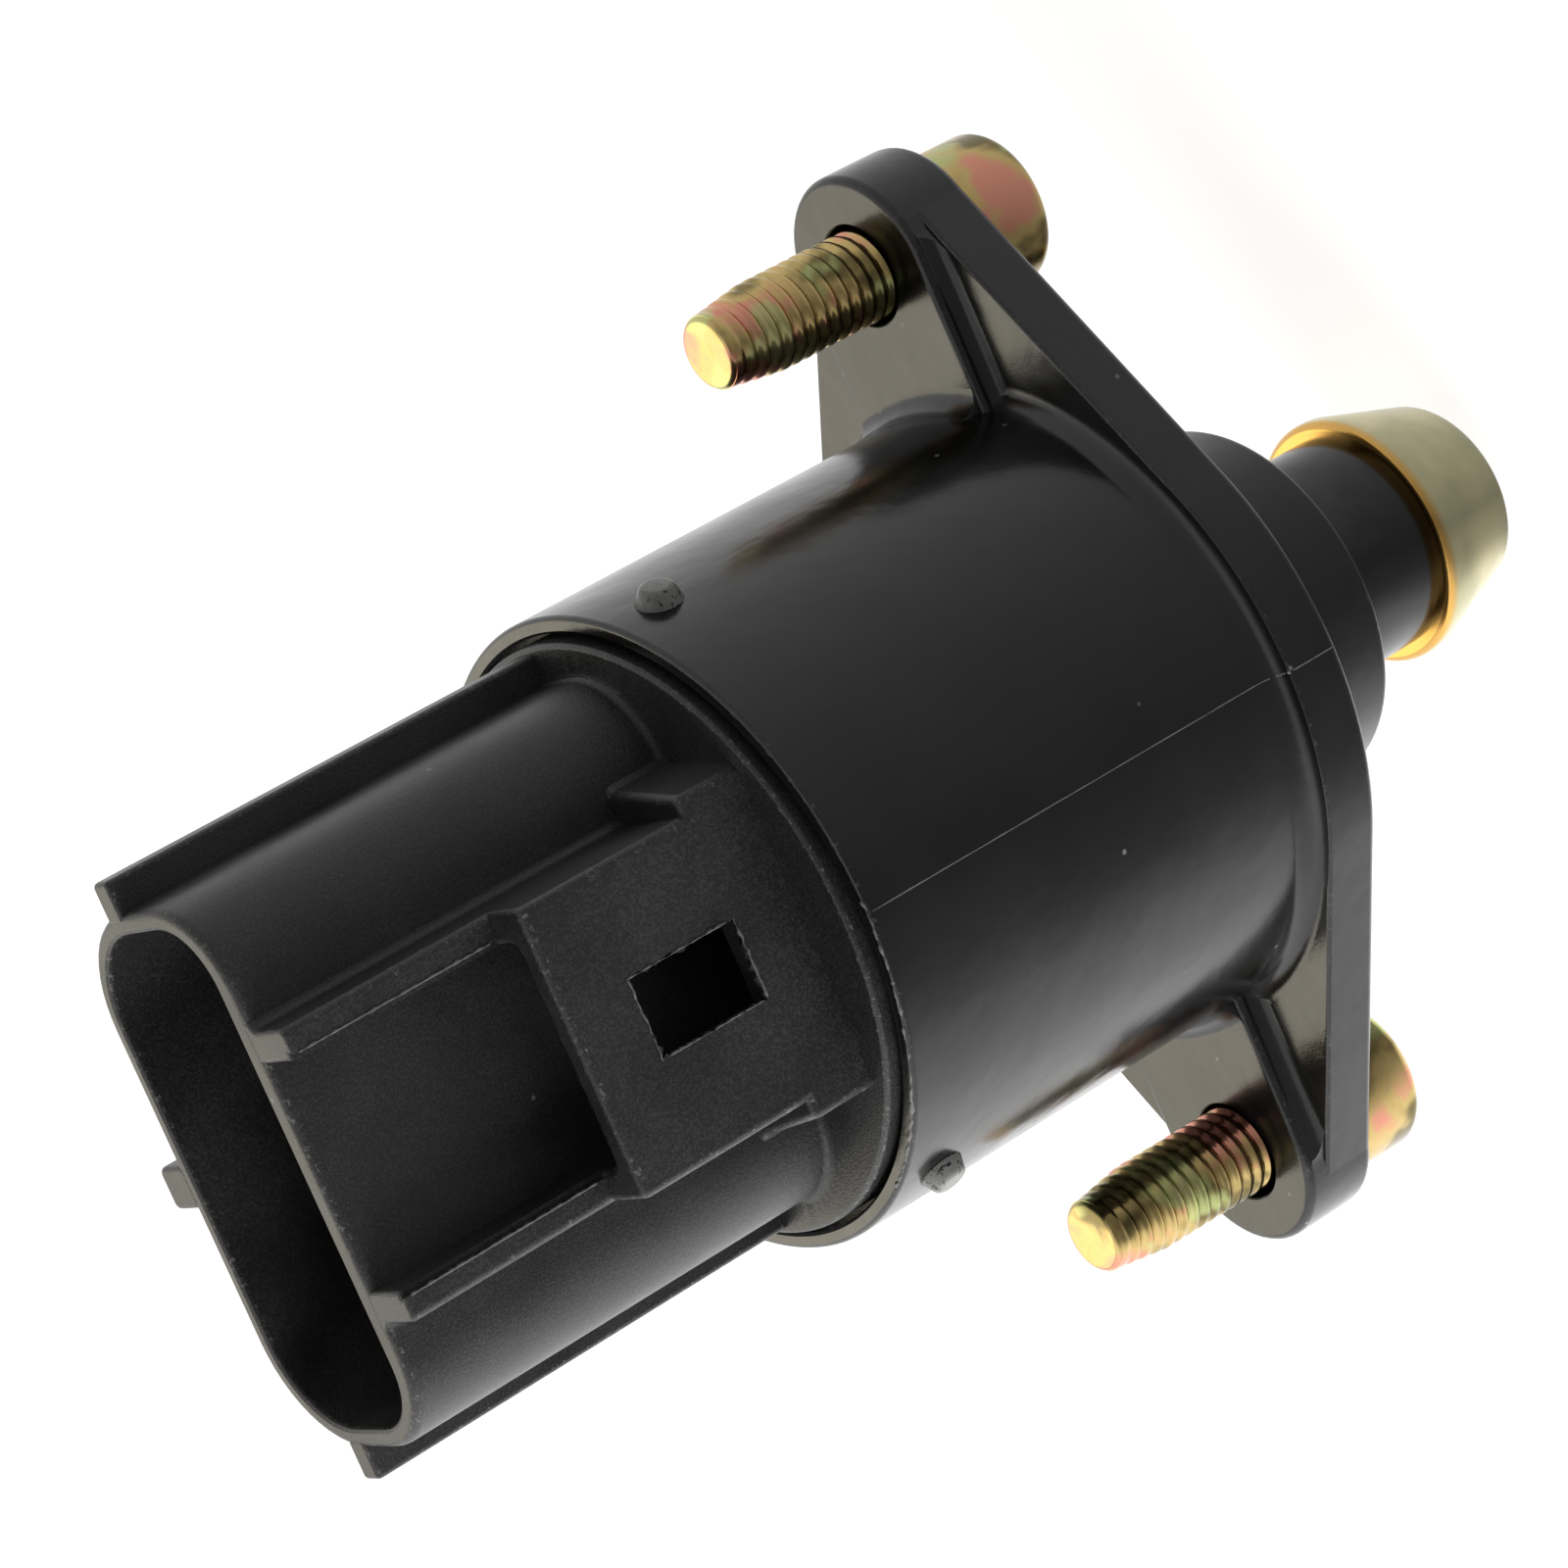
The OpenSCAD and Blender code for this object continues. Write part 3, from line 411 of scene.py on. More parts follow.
def new_material(name: str) -> tuple[bpy.types.Material, Desk, bpy.types.Node]:
    """Make a material with one Principled shader.

    Args:
        name: the material's name.

    Returns:
        The material, a desk for its tree and the shader node.
    """
    material = bpy.data.materials.new(name)
    material.use_nodes = True
    shader = next(n for n in material.node_tree.nodes if n.type == "BSDF_PRINCIPLED")
    return material, Desk(material.node_tree), shader


def bare_material(name: str) -> tuple[bpy.types.Material, Desk]:
    """Make a material with no nodes in it yet.

    Args:
        name: the material's name.

    Returns:
        The material and a desk for its tree.
    """
    material = bpy.data.materials.new(name)
    material.use_nodes = True
    material.node_tree.nodes.clear()
    return material, Desk(material.node_tree)


def feed_shader(desk: Desk, shader: bpy.types.Node, base: Socket, rough: Socket, relief: Socket) -> None:
    """Feed a shader what changes over the surface.

    Args:
        desk: the material's desk.
        shader: the Principled shader.
        base: the colour.
        rough: the roughness.
        relief: the surface's height, in metres.
    """
    bump = desk.add("ShaderNodeBump", {"Height": relief, "Strength": 1.0, "Distance": 1.0})
    desk.tree.links.new(base, shader.inputs["Base Color"])
    desk.tree.links.new(rough, shader.inputs["Roughness"])
    desk.tree.links.new(bump.outputs[0], shader.inputs["Normal"])


def grey(value: float) -> Colour:
    """Return a neutral colour."""
    return (value, value, value, 1.0)


@dataclass(frozen=True)
class PlasticFinish:
    """Moulded plastic or rubber: grain, slow waves, rubbed edges lightened partly as a painted edge
    highlight, and specks.
    """

    name: str
    colour: Colour
    worn: Colour
    roughness: float = 0.34
    rough_swing: float = 0.10
    grain_mm: float = 0.16
    grain_depth: float = 0.010
    grain_range: Pair = (0.42, 0.66)
    grain_tone: float = 0.0
    wave_depth: float = 0.0
    flow_range: Pair = (0.3, 0.7)
    lighten: float = 1.5
    least_light: float = 0.001
    wear: float = 0.5
    wear_rough: float = 0.15
    specks: float = 0.12
    speck_share: float = 0.5
    speck_tone: float = 0.35
    gloss: float = 0.5

    def material(self, effects: Effects) -> bpy.types.Material:
        """Build the finish.

        Args:
            effects: the shared shader groups.

        Returns:
            The material.
        """
        made, desk, shader = new_material(self.name)
        grain = desk.add("ShaderNodeGroup", {"Size": self.grain_mm}, node_tree=effects.grain).outputs
        worn = desk.add("ShaderNodeGroup", {"Amount": self.wear}, node_tree=effects.wear).outputs["Mask"]
        speck = desk.add("ShaderNodeGroup", {"Share": self.specks}, node_tree=effects.dust).outputs["Mask"]
        lighter = tuple(min(1.0, c * self.lighten + self.least_light) for c in self.colour[:3]) + (1.0,)
        base = desk.blend(desk.span(grain["Flow"], *self.flow_range), self.colour, lighter)
        darkest, lightest = 1.0 - self.grain_tone, 1.0 + 2 * self.grain_tone
        base = desk.scaled(base, desk.span(grain["Height"], *self.grain_range, darkest, lightest))
        # Lighter colour on rounded edges: rubbed wear and a painted edge highlight.
        base = desk.blend(worn, base, self.worn)
        base = desk.blend(desk.math("MULTIPLY", speck, self.speck_share), base, grey(self.speck_tone))
        low, high = self.roughness - self.rough_swing / 2, self.roughness + self.rough_swing / 2
        rough = desk.span(grain["Flow"], *self.flow_range, low, high)
        rough = desk.math("ADD", rough, desk.math("MULTIPLY", worn, self.wear_rough))
        fine = desk.math("MULTIPLY", grain["Height"], self.grain_depth * MM)
        relief = desk.math("ADD", fine, desk.math("MULTIPLY", grain["Flow"], self.wave_depth * MM))
        feed_shader(desk, shader, base, rough, relief)
        shader.inputs["Specular IOR Level"].default_value = self.gloss
        return made


@dataclass(frozen=True)
class MetalFinish:
    """Bare or plated metal with lathe rings or grain and a slow change of tone."""

    name: str
    colour: Colour
    tint: Colour
    roughness: float = 0.25
    rough_swing: float = 0.10
    ring_mm: float = 0.12
    ring_depth: float = 0.003
    ring_range: Pair = (0.3, 0.7)
    grain_mm: float = 0.3
    grain_depth: float = 0.002
    flow_range: Pair = (0.35, 0.65)
    band_z: Pair | None = None
    band_colour: Colour = (0.60, 0.33, 0.07, 1.0)
    band_share: float = 0.9

    def material(self, effects: Effects) -> bpy.types.Material:
        """Build the finish.

        Args:
            effects: the shared shader groups.

        Returns:
            The material.
        """
        made, desk, shader = new_material(self.name)
        grain = desk.add("ShaderNodeGroup", {"Size": self.grain_mm}, node_tree=effects.grain).outputs
        rings = desk.add("ShaderNodeGroup", {"Pitch": self.ring_mm}, node_tree=effects.turning).outputs
        base = desk.blend(desk.span(grain["Flow"], *self.flow_range), self.colour, self.tint)
        # Painted reflection: an amber band across the given heights colours the metal as if it reflected
        # amber light.
        if self.band_z:
            z = desk.add("ShaderNodeSeparateXYZ", {0: desk.place_mm()}).outputs[2]
            base = desk.blend(desk.span(z, *self.band_z, 0.0, self.band_share), base, self.band_colour)
        low, high = self.roughness - self.rough_swing / 2, self.roughness + self.rough_swing / 2
        rough = desk.span(rings["Tone"], *self.ring_range, low, high)
        fine = desk.math("MULTIPLY", grain["Height"], self.grain_depth * MM)
        relief = desk.math("ADD", desk.math("MULTIPLY", rings["Height"], self.ring_depth * MM), fine)
        feed_shader(desk, shader, base, rough, relief)
        shader.inputs["Metallic"].default_value = 1.0
        return made


@dataclass(frozen=True)
class ZincFinish:
    """Yellow passivated zinc: gold, olive, rose and green patches that run into each other."""

    name: str
    gold: Colour = (0.50, 0.37, 0.15, 1.0)
    olive: Colour = (0.15, 0.12, 0.05, 1.0)
    rose: Colour = (0.60, 0.26, 0.18, 1.0)
    green: Colour = (0.42, 0.48, 0.20, 1.0)
    patch_mm: float = 4.0
    gold_range: Pair = (0.40, 0.54)
    rose_range: Pair = (0.53, 0.64)
    drift_per_mm: float = 0.35
    green_range: Pair = (0.56, 0.68)
    green_share: float = 0.7
    rough_range: Pair = (0.3, 0.7)
    smoothest: float = 0.13
    roughest: float = 0.27
    grain_mm: float = 0.12
    grain_depth: float = 0.003

    def material(self, effects: Effects) -> bpy.types.Material:
        """Build the finish.

        Args:
            effects: the shared shader groups.

        Returns:
            The material.
        """
        made, desk, shader = new_material(self.name)
        sizes = {"Size": self.grain_mm, "Flow Size": self.patch_mm}
        grain = desk.add("ShaderNodeGroup", sizes, node_tree=effects.grain).outputs
        drift = desk.noise(desk.place_mm(), self.drift_per_mm)
        base = desk.blend(desk.span(grain["Flow"], *self.gold_range), self.olive, self.gold)
        base = desk.blend(desk.span(grain["Flow"], *self.rose_range), base, self.rose)
        base = desk.blend(desk.span(drift, *self.green_range, 0.0, self.green_share), base, self.green)
        rough = desk.span(drift, *self.rough_range, self.smoothest, self.roughest)
        relief = desk.math("MULTIPLY", grain["Height"], self.grain_depth * MM)
        feed_shader(desk, shader, base, rough, relief)
        shader.inputs["Metallic"].default_value = 1.0
        return made


class Finish(Enum):
    """Every finish of the valve, by the record's material slot."""

    # The worn colour on the body's and the cap's rounded edges is partly rubbed wear and partly a painted
    # edge highlight; the cap's stronger share paints its bright edge lines.
    body_plastic = PlasticFinish("body_plastic", (0.005, 0.005, 0.005, 1), (0.22, 0.22, 0.21, 1), 0.20, 0.06,
                                 grain_depth=0.006, wear=0.16, wave_depth=0.13)
    cap_plastic = PlasticFinish("cap_plastic", (0.020, 0.020, 0.020, 1), (0.15, 0.145, 0.135, 1), 0.38, 0.10,
                                grain_mm=0.12, grain_depth=0.03, wear=0.8, grain_tone=0.3, gloss=0.42)
    carrier_plastic = PlasticFinish("carrier_plastic", (0.03, 0.032, 0.036, 1), (0.2, 0.2, 0.2, 1), 0.45)
    natural_plastic = PlasticFinish("natural_plastic", (0.72, 0.68, 0.58, 1), (0.8, 0.78, 0.7, 1), 0.42,
                                    wear=0.2)
    seal_rubber = PlasticFinish("seal_rubber", (0.010, 0.010, 0.010, 1), (0.05, 0.05, 0.05, 1), 0.62,
                                grain_mm=0.1)
    # Light grey beads on the black plastic: real flash and seam beads, their light grey a painted highlight
    # along the thin ridges.
    flash_plastic = PlasticFinish("flash_plastic", (0.10, 0.10, 0.098, 1), (0.16, 0.16, 0.16, 1), 0.3,
                                  wear=0.0)
    # The amber band between these heights, on the rim's back, is a painted reflection.
    pintle_metal = MetalFinish("pintle_metal", (0.74, 0.67, 0.40, 1), (0.52, 0.49, 0.30, 1), 0.20, 0.08,
                               band_z=(-18.9, -18.3))
    black_steel = MetalFinish("black_steel", (0.045, 0.045, 0.047, 1), (0.06, 0.06, 0.06, 1), 0.2)
    screw_steel = ZincFinish("screw_steel")
    bright_steel = MetalFinish("bright_steel", (0.56, 0.57, 0.58, 1), (0.62, 0.62, 0.61, 1), 0.28)
    polished_steel = MetalFinish("polished_steel", (0.66, 0.67, 0.68, 1), (0.70, 0.70, 0.70, 1), 0.12, 0.05,
                                 ring_depth=0.001)
    pole_steel = MetalFinish("pole_steel", (0.45, 0.46, 0.47, 1), (0.52, 0.51, 0.48, 1), 0.36,
                             ring_depth=0.0, grain_mm=0.5)
    ferrite = MetalFinish("ferrite", (0.045, 0.042, 0.042, 1), (0.065, 0.06, 0.058, 1), 0.55,
                          ring_depth=0.001)
    copper_wire = MetalFinish("copper_wire", (0.60, 0.24, 0.10, 1), (0.68, 0.30, 0.12, 1), 0.30)
    bronze = MetalFinish("bronze", (0.50, 0.33, 0.14, 1), (0.56, 0.40, 0.19, 1), 0.42, ring_depth=0.001)
    tinned_brass = MetalFinish("tinned_brass", (0.66, 0.63, 0.55, 1), (0.72, 0.70, 0.64, 1), 0.30,
                               ring_depth=0.0)


class Paintbox:
    """The built materials, one for each finish."""

    def __init__(self, effects: Effects) -> None:
        """Build each finish once.

        Args:
            effects: the shared shader groups.
        """
        self.by_finish = {finish: finish.value.material(effects) for finish in Finish}

    def __getitem__(self, finish: Finish) -> bpy.types.Material:
        """Return a finish's material."""
        return self.by_finish[finish]


@dataclass(frozen=True)
class Workshop:
    """What every sub-assembly is made with."""

    paint: Paintbox
    shapers: Shapers


def dress(piece: bpy.types.Object, material: bpy.types.Material) -> None:
    """Give a piece one material."""
    piece.data.materials.clear()
    piece.data.materials.append(material)


# Mesh helpers

ON_AXIS = 1e-6
MERGE_MM = 0.002
SHARP_DEG = 30.0
FLAT_WEIGHT = 80


class Axis(Enum):
    """The axis that an outline is raised along, as the order of its coordinates."""

    X = (2, 0, 1)
    Y = (0, 2, 1)
    Z = (0, 1, 2)


class Join(Enum):
    """How forms are put together."""

    UNITE = "UNION"
    CUT = "DIFFERENCE"
    TRIM = "INTERSECT"


def arc(cx: float, cy: float, r: float, a0: float, a1: float, steps: int = 8) -> Outline:
    """Return the points of an arc.

    Args:
        cx: the middle's first coordinate.
        cy: the middle's second coordinate.
        r: the radius.
        a0: the first angle, in degrees.
        a1: the last angle, in degrees.
        steps: how many chords the arc has.

    Returns:
        The points, in order.
    """
    angles = [math.radians(a0 + (a1 - a0) * i / steps) for i in range(steps + 1)]
    return [(cx + r * math.cos(a), cy + r * math.sin(a)) for a in angles]


def mirrored(outline: Outline) -> Outline:
    """Return an outline flipped across its second axis, still anticlockwise."""
    return [(-x, y) for x, y in outline[::-1]]


def lathe(profile: Outline, segments: int = 128) -> bmesh.types.BMesh:
    """Turn a closed outline of (radius, height) points round the Z axis.

    Args:
        profile: the outline in millimetres; points on the axis become poles.
        segments: faces round the axis.

    Returns:
        A closed mesh in millimetres.
    """
    shape = bmesh.new()
    turns = [math.tau * i / segments for i in range(segments)]
    rings = []
    for r, z in profile:
        if r < ON_AXIS:
            rings.append([shape.verts.new((0, 0, z))] * segments)
        else:
            rings.append([shape.verts.new((r * math.cos(a), r * math.sin(a), z)) for a in turns])
    for j, lower in enumerate(rings):
        above = (j + 1) % len(rings)
        if profile[j][0] < ON_AXIS and profile[above][0] < ON_AXIS:
            continue
        upper = rings[above]
        for i in range(segments):
            k = (i + 1) % segments
            corners = list(dict.fromkeys([lower[i], lower[k], upper[k], upper[i]]))
            if len(corners) > 2:
                shape.faces.new(corners)
    bmesh.ops.recalc_face_normals(shape, faces=shape.faces)
    return shape


def to_object(shape: bmesh.types.BMesh, name: str, scale: float = MM) -> bpy.types.Object:
    """Turn a bmesh into a smooth-shaded object at the origin.

    Args:
        shape: the mesh, which is freed.
        name: the object's name.
        scale: metres for each of the mesh's units.

    Returns:
        The object, linked to the scene.
    """
    mesh = bpy.data.meshes.new(name)
    bmesh.ops.scale(shape, vec=(scale, scale, scale), verts=shape.verts)
    for face in shape.faces:
        face.smooth = True
    shape.to_mesh(mesh)
    shape.free()
    piece = bpy.data.objects.new(name, mesh)
    bpy.context.scene.collection.objects.link(piece)
    return piece


def settle(piece: bpy.types.Object) -> bpy.types.Object:
    """Turn a piece's modifiers into its plain mesh.

    Args:
        piece: an object with modifiers.

    Returns:
        The same object, with the result as its mesh and no modifiers left.
    """
    graph = bpy.context.evaluated_depsgraph_get()
    result = bpy.data.meshes.new_from_object(piece.evaluated_get(graph), depsgraph=graph)
    piece.modifiers.clear()
    old = piece.data
    piece.data = result
    result.name = piece.name
    bpy.data.meshes.remove(old)
    return piece


def shaped(piece: bpy.types.Object, tree: bpy.types.NodeTree, material: bpy.types.Material,
           feeds: dict[str, Feed]) -> bpy.types.Object:
    """Run a geometry tree on a piece and keep the result as its plain mesh.

    Args:
        piece: the object the tree starts from.
        tree: one of the geometry trees.
        material: the material the tree sets.
        feeds: the tree's other inputs by name, lengths in metres.

    Returns:
        The same object with the new mesh.
    """
    modifier = piece.modifiers.new(tree.name, "NODES")
    modifier.node_group = tree
    for item in tree.interface.items_tree:
        if item.in_out == "INPUT" and item.name in feeds:
            modifier[item.identifier] = feeds[item.name]
        elif item.in_out == "INPUT" and item.name == "Material":
            modifier[item.identifier] = material
    settle(piece)
    for face in piece.data.polygons:
        face.use_smooth = True
    return piece


def path_object(name: str, points: Sequence[Point]) -> bpy.types.Object:
    """Make an object of edges only, for a tree to follow.

    Args:
        name: the object's name.
        points: the path in millimetres.

    Returns:
        The object.
    """
    shape = bmesh.new()
    verts = [shape.verts.new(p) for p in points]
    for a, b in zip(verts, verts[1:]):
        shape.edges.new((a, b))
    return to_object(shape, name)


def inset(outline: Outline, amount: float) -> Outline:
    """Draw an outline in evenly.

    Args:
        outline: the points, anticlockwise.
        amount: how far each side moves inwards; less than 0 moves it outwards.

    Returns:
        The new points, one for each old one.
    """
    sharpest = 0.2
    moved = []
    for i, corner in enumerate(outline):
        here, before, after = (Vector(p) for p in (corner, outline[i - 1], outline[(i + 1) % len(outline)]))
        a, b = (here - before).normalized(), (after - here).normalized()
        left_a, left_b = Vector((-a.y, a.x)), Vector((-b.y, b.x))
        mitre = (left_a + left_b) / max(1 + left_a.dot(left_b), sharpest)
        moved.append(tuple(here + mitre * amount))
    return moved


def loft(outline: Outline, steps: Sequence[Pair], along: Axis = Axis.Z) -> bpy.types.Object:
    """Raise an outline through steps of (inset, height) into a closed solid.

    Args:
        outline: the points across the axis, anticlockwise.
        steps: how far the outline is drawn in at each height, from low to high.
        along: Z for an outline in X and Y, Y for X and Z, or X for Y and Z.

    Returns:
        The solid, in millimetres.
    """
    shape = bmesh.new()
    rings = []
    for amount, height in steps:
        ring = []
        for x, y in inset(outline, amount) if amount else outline:
            local = (x, y, height)
            ring.append(shape.verts.new(tuple(local[k] for k in along.value)))
        rings.append(ring)
    for lower, upper in zip(rings, rings[1:]):
        for i in range(len(outline)):
            k = (i + 1) % len(outline)
            shape.faces.new((lower[i], lower[k], upper[k], upper[i]))
    shape.faces.new(rings[0][::-1])
    shape.faces.new(rings[-1])
    bmesh.ops.recalc_face_normals(shape, faces=shape.faces)
    return to_object(shape, "form", 1.0)


def rounded_steps(low: float, high: float, low_r: float = 0.0, high_r: float = 0.0) -> Outline:
    """Return the steps for a loft with rounded lower and upper edges.

    Args:
        low: the lower end.
        high: the upper end.
        low_r: the lower edge's radius.
        high_r: the upper edge's radius.

    Returns:
        Steps of (inset, height).
    """
    lower = [(low_r - r, z) for r, z in arc(0, low + low_r, low_r, -90, 0, 4)] if low_r else [(0.0, low)]
    upper = [(high_r - r, z) for r, z in arc(0, high - high_r, high_r, 0, 90, 4)] if high_r else [(0.0, high)]
    return lower + upper


def box_outline(x: Pair, y: Pair, corner_r: float = 0.0) -> Outline:
    """Return a rectangle with square or rounded corners.

    Args:
        x: its ends across.
        y: its ends upwards.
        corner_r: its corners' radius.

    Returns:
        The outline, anticlockwise.
    """
    (left, right), (low, high), r = x, y, corner_r
    if not r:
        return [(right, low), (right, high), (left, high), (left, low)]
    middles = ((right - r, low + r, -90), (right - r, high - r, 0),
               (left + r, high - r, 90), (left + r, low + r, 180))
    return [point for cx, cy, a in middles for point in arc(cx, cy, r, a, a + 90, 4)]


def turned(profile: Outline, segments: int = 160) -> bpy.types.Object:
    """Return a lathe form that can be joined to others, in millimetres."""
    return to_object(lathe(profile, segments), "form", 1.0)


def combine(base: bpy.types.Object, forms: Sequence[bpy.types.Object], how: Join) -> bpy.types.Object:
    """Join, cut or trim a form with others, which are used up.

    Args:
        base: the form that stays.
        forms: the other forms.
        how: what the other forms do to it.

    Returns:
        The base with the result as its mesh.
    """
    for form in forms:
        modifier = base.modifiers.new(form.name, "BOOLEAN")
        modifier.operation = how.value
        modifier.solver = "MANIFOLD"
        modifier.object = form
    settle(base)
    for form in forms:
        mesh = form.data
        bpy.data.objects.remove(form)
        bpy.data.meshes.remove(mesh)
    return base


def rounding(face: bmesh.types.BMFace) -> float:
    """Return how much a face belongs to a small convex rounding.

    A rounding bends along two edges of each of its faces, so the second-largest bend
    counts, and a flat face beside one bend stays unmarked.

    Args:
        face: a face of a form in millimetres.

    Returns:
        0 on flat faces and large curves, up to 1 on small roundings.
    """
    least_deg, most_deg, least_area = 4.0, 40.0, 0.02
    from_bend, full_bend = 0.5, 1.3
    bends = [0.0, 0.0]
    for edge in face.edges:
        angle = edge.calc_face_angle(0.0) if len(edge.link_faces) == 2 and edge.is_convex else 0.0
        if math.radians(least_deg) < angle < math.radians(most_deg):
            bends.append(angle * edge.calc_length() / max(face.calc_area(), least_area))
    return min(max((sorted(bends)[-2] - from_bend) / (full_bend - from_bend), 0.0), 1.0)


def finish_form(form: bpy.types.Object, name: str) -> bpy.types.Object:
    """Turn a joined form into a piece in metres, with its rounded edges marked.

    Args:
        form: the joined form in millimetres.
        name: the piece's name.

    Returns:
        The piece; its face attribute "rounding" is 1 on small convex roundings.
    """
    shape = bmesh.new()
    shape.from_mesh(form.data)
    bmesh.ops.remove_doubles(shape, verts=shape.verts, dist=MERGE_MM)
    shape.normal_update()
    bends = [rounding(face) for face in shape.faces]
    bmesh.ops.scale(shape, vec=(MM, MM, MM), verts=shape.verts)
    for face in shape.faces:
        face.smooth = True
    shape.to_mesh(form.data)
    shape.free()
    form.name = form.data.name = name
    form.data.set_sharp_from_angle(angle=math.radians(SHARP_DEG))
    smooth = form.modifiers.new("normals", "WEIGHTED_NORMAL")
    smooth.keep_sharp = True
    smooth.weight = FLAT_WEIGHT
    marks = form.data.attributes.new("rounding", "FLOAT", "FACE")
    for mark, bend in zip(marks.data, bends):
        mark.value = bend
    return settle(form)


# Sub-assemblies


@dataclass
class Housing:
    """The flanged body with its nose."""

    body_r: float = 17.5
    rim_z: float = 31.1
    rim_edge: float = 0.3
    base_fillet: float = 1.2
    flange_r: float = 18.8
    flange_t: float = 3.5
    flange_edge: float = 0.6
    top_edge: float = 0.22
    ear_r: float = 5.4
    ear_step: float = 0.05
    ear_t: float = 4.8
    arm_edge: float = 0.484
    arm_fillet: Pair = (0.9, 0.9)
    arm_inset: float = 0.3
    top_fillet: float = 1.3
    span: float = 50.5
    hole_r: float = 2.8
    hole_edge: float = 0.08
    nose_r: float = 10.25
    nose_len: float = 10.0
    nose_edge: float = 0.5
    nose_foot: float = 0.25
    pip_r: float = 1.25
    pip_h: float = 0.9
    pip_z: float = 27.9
    pip_angles: Pair = (68.5, -58.5)
    pip_wear: float = 2.6
    seal_groove: Pair = (12.9, 15.1)
    seal_depth: float = 1.26
    bore_r: float = 6.7
    bore_edge: float = 0.2
    wiper_r: float = 7.8
    wiper_z: Pair = (-9.4, -7.9)
    guide_r: float = 4.15
    guide_z: Pair = (1.5, 3.0)
    bearing_r: float = 6.55
    bearing_top: float = 7.0
    bearing_wall_r: float = 8.0
    motor_r: float = 15.7
    motor_z: float = 4.6
    ledge_z: float = 28.7
    mouth_r: float = 16.6
    mouth_edge: float = 0.15

    def _flange_outline(self) -> Outline:
        """Draw the flange: a round waist with straight sides to the ears.

        Returns:
            The outline, anticlockwise.
        """
        half, ear_r = self.span / 2, self.ear_r - self.ear_step
        tangent = math.degrees(math.acos((self.flange_r - ear_r) / half))
        points = arc(half, 0, ear_r, -tangent, tangent, 16)
        points += arc(0, 0, self.flange_r, tangent, 180 - tangent, 28)
        return points + [(-x, -y) for x, y in points]

    def _arm_outline(self, grow: float = 0.0) -> Outline:
        """Return the straight bar with round ends that carries the ears."""
        end = arc(self.span / 2, 0, self.ear_r + grow, -90, 90, 28)
        return end + [(-x, -y) for x, y in end]

    def _turned_outside(self) -> bpy.types.Object:
        """Turn the body and the nose, without the flange.

        Returns:
            The form, closed at both ends.
        """
        fillet, rim, nose = self.base_fillet, self.rim_edge, self.nose_edge
        foot, neck, inside_z = self.body_r + fillet, self.nose_r + self.nose_foot, 0.6
        outline = [(0.0, -self.nose_len)]
        outline += arc(self.nose_r - nose, nose - self.nose_len, nose, -90, 0, 5)
        outline += [(self.nose_r, -self.nose_foot), (neck, 0.0), (neck, inside_z), (foot, inside_z)]
        outline += arc(foot, self.flange_t + fillet, fillet, 270, 180, 8)
        outline += arc(self.body_r - rim, self.rim_z - rim, rim, 0, 90, 5)
        return turned(outline + [(0.0, self.rim_z)])

    def _arm_fillets(self) -> list[bpy.types.Object]:
        """Make the hollow roundings beside the arms and where the body stands on them.

        Returns:
            A strip for each side of the arms, and a ring round the body.
        """
        strip_sink, ring_sink, trim = 0.4, 0.5, 0.25
        reach, (wide, high) = self.span / 2 + self.ear_r, self.arm_fillet
        near, low = self.ear_r - strip_sink, self.flange_t - strip_sink
        quarter = arc(1, 1, 1, 270, 180, 10)
        hollow = [(self.ear_r + wide * x, self.flange_t + high * z) for x, z in quarter]
        outline = [(near, low), (self.ear_r + wide, low), *hollow, (near, self.flange_t + high)]
        strips = []
        for side in (outline, mirrored(outline)):
            strip = loft(side, [(0.0, -reach), (0.0, reach)], Axis.X)
            bound = loft(self._flange_outline(), [(trim, 0.0), (trim, self.ear_t)])
            strips.append(combine(strip, [bound], Join.TRIM))
        r, near, low = self.top_fillet, self.body_r - ring_sink, self.ear_t - ring_sink
        foot = self.body_r + r
        hollow = arc(foot, self.ear_t + r, r, 270, 180, 8)
        ring = turned([(near, low), (foot, low), *hollow, (near, self.ear_t + r)])
        steps = [(0.0, 0.0), (0.0, self.ear_t), (self.arm_inset, self.ear_t + r)]
        return strips + [combine(ring, [loft(self._arm_outline(-self.arm_inset), steps)], Join.TRIM)]

    def _pips(self) -> list[bpy.types.Object]:
        """Make the two snap pips near the rim.

        Returns:
            The pips, in place.
        """
        dome, top_r, sink = 0.4 * self.pip_h, 0.8 * self.pip_r, 0.4
        outline = [(0.0, -sink), (self.pip_r, -sink), (self.pip_r, 0.0)]
        outline += arc(top_r - dome, self.pip_h - dome, dome, 20, 90, 5) + [(0.0, self.pip_h)]
        outward = Matrix.Translation((0, -self.body_r, self.pip_z)) @ Matrix.Rotation(math.pi / 2, 4, "X")
        pips = []
        for angle in self.pip_angles:
            pip = turned(outline, 40)
            pip.data.transform(Matrix.Rotation(math.radians(angle), 4, "Z") @ outward)
            pips.append(pip)
        return pips

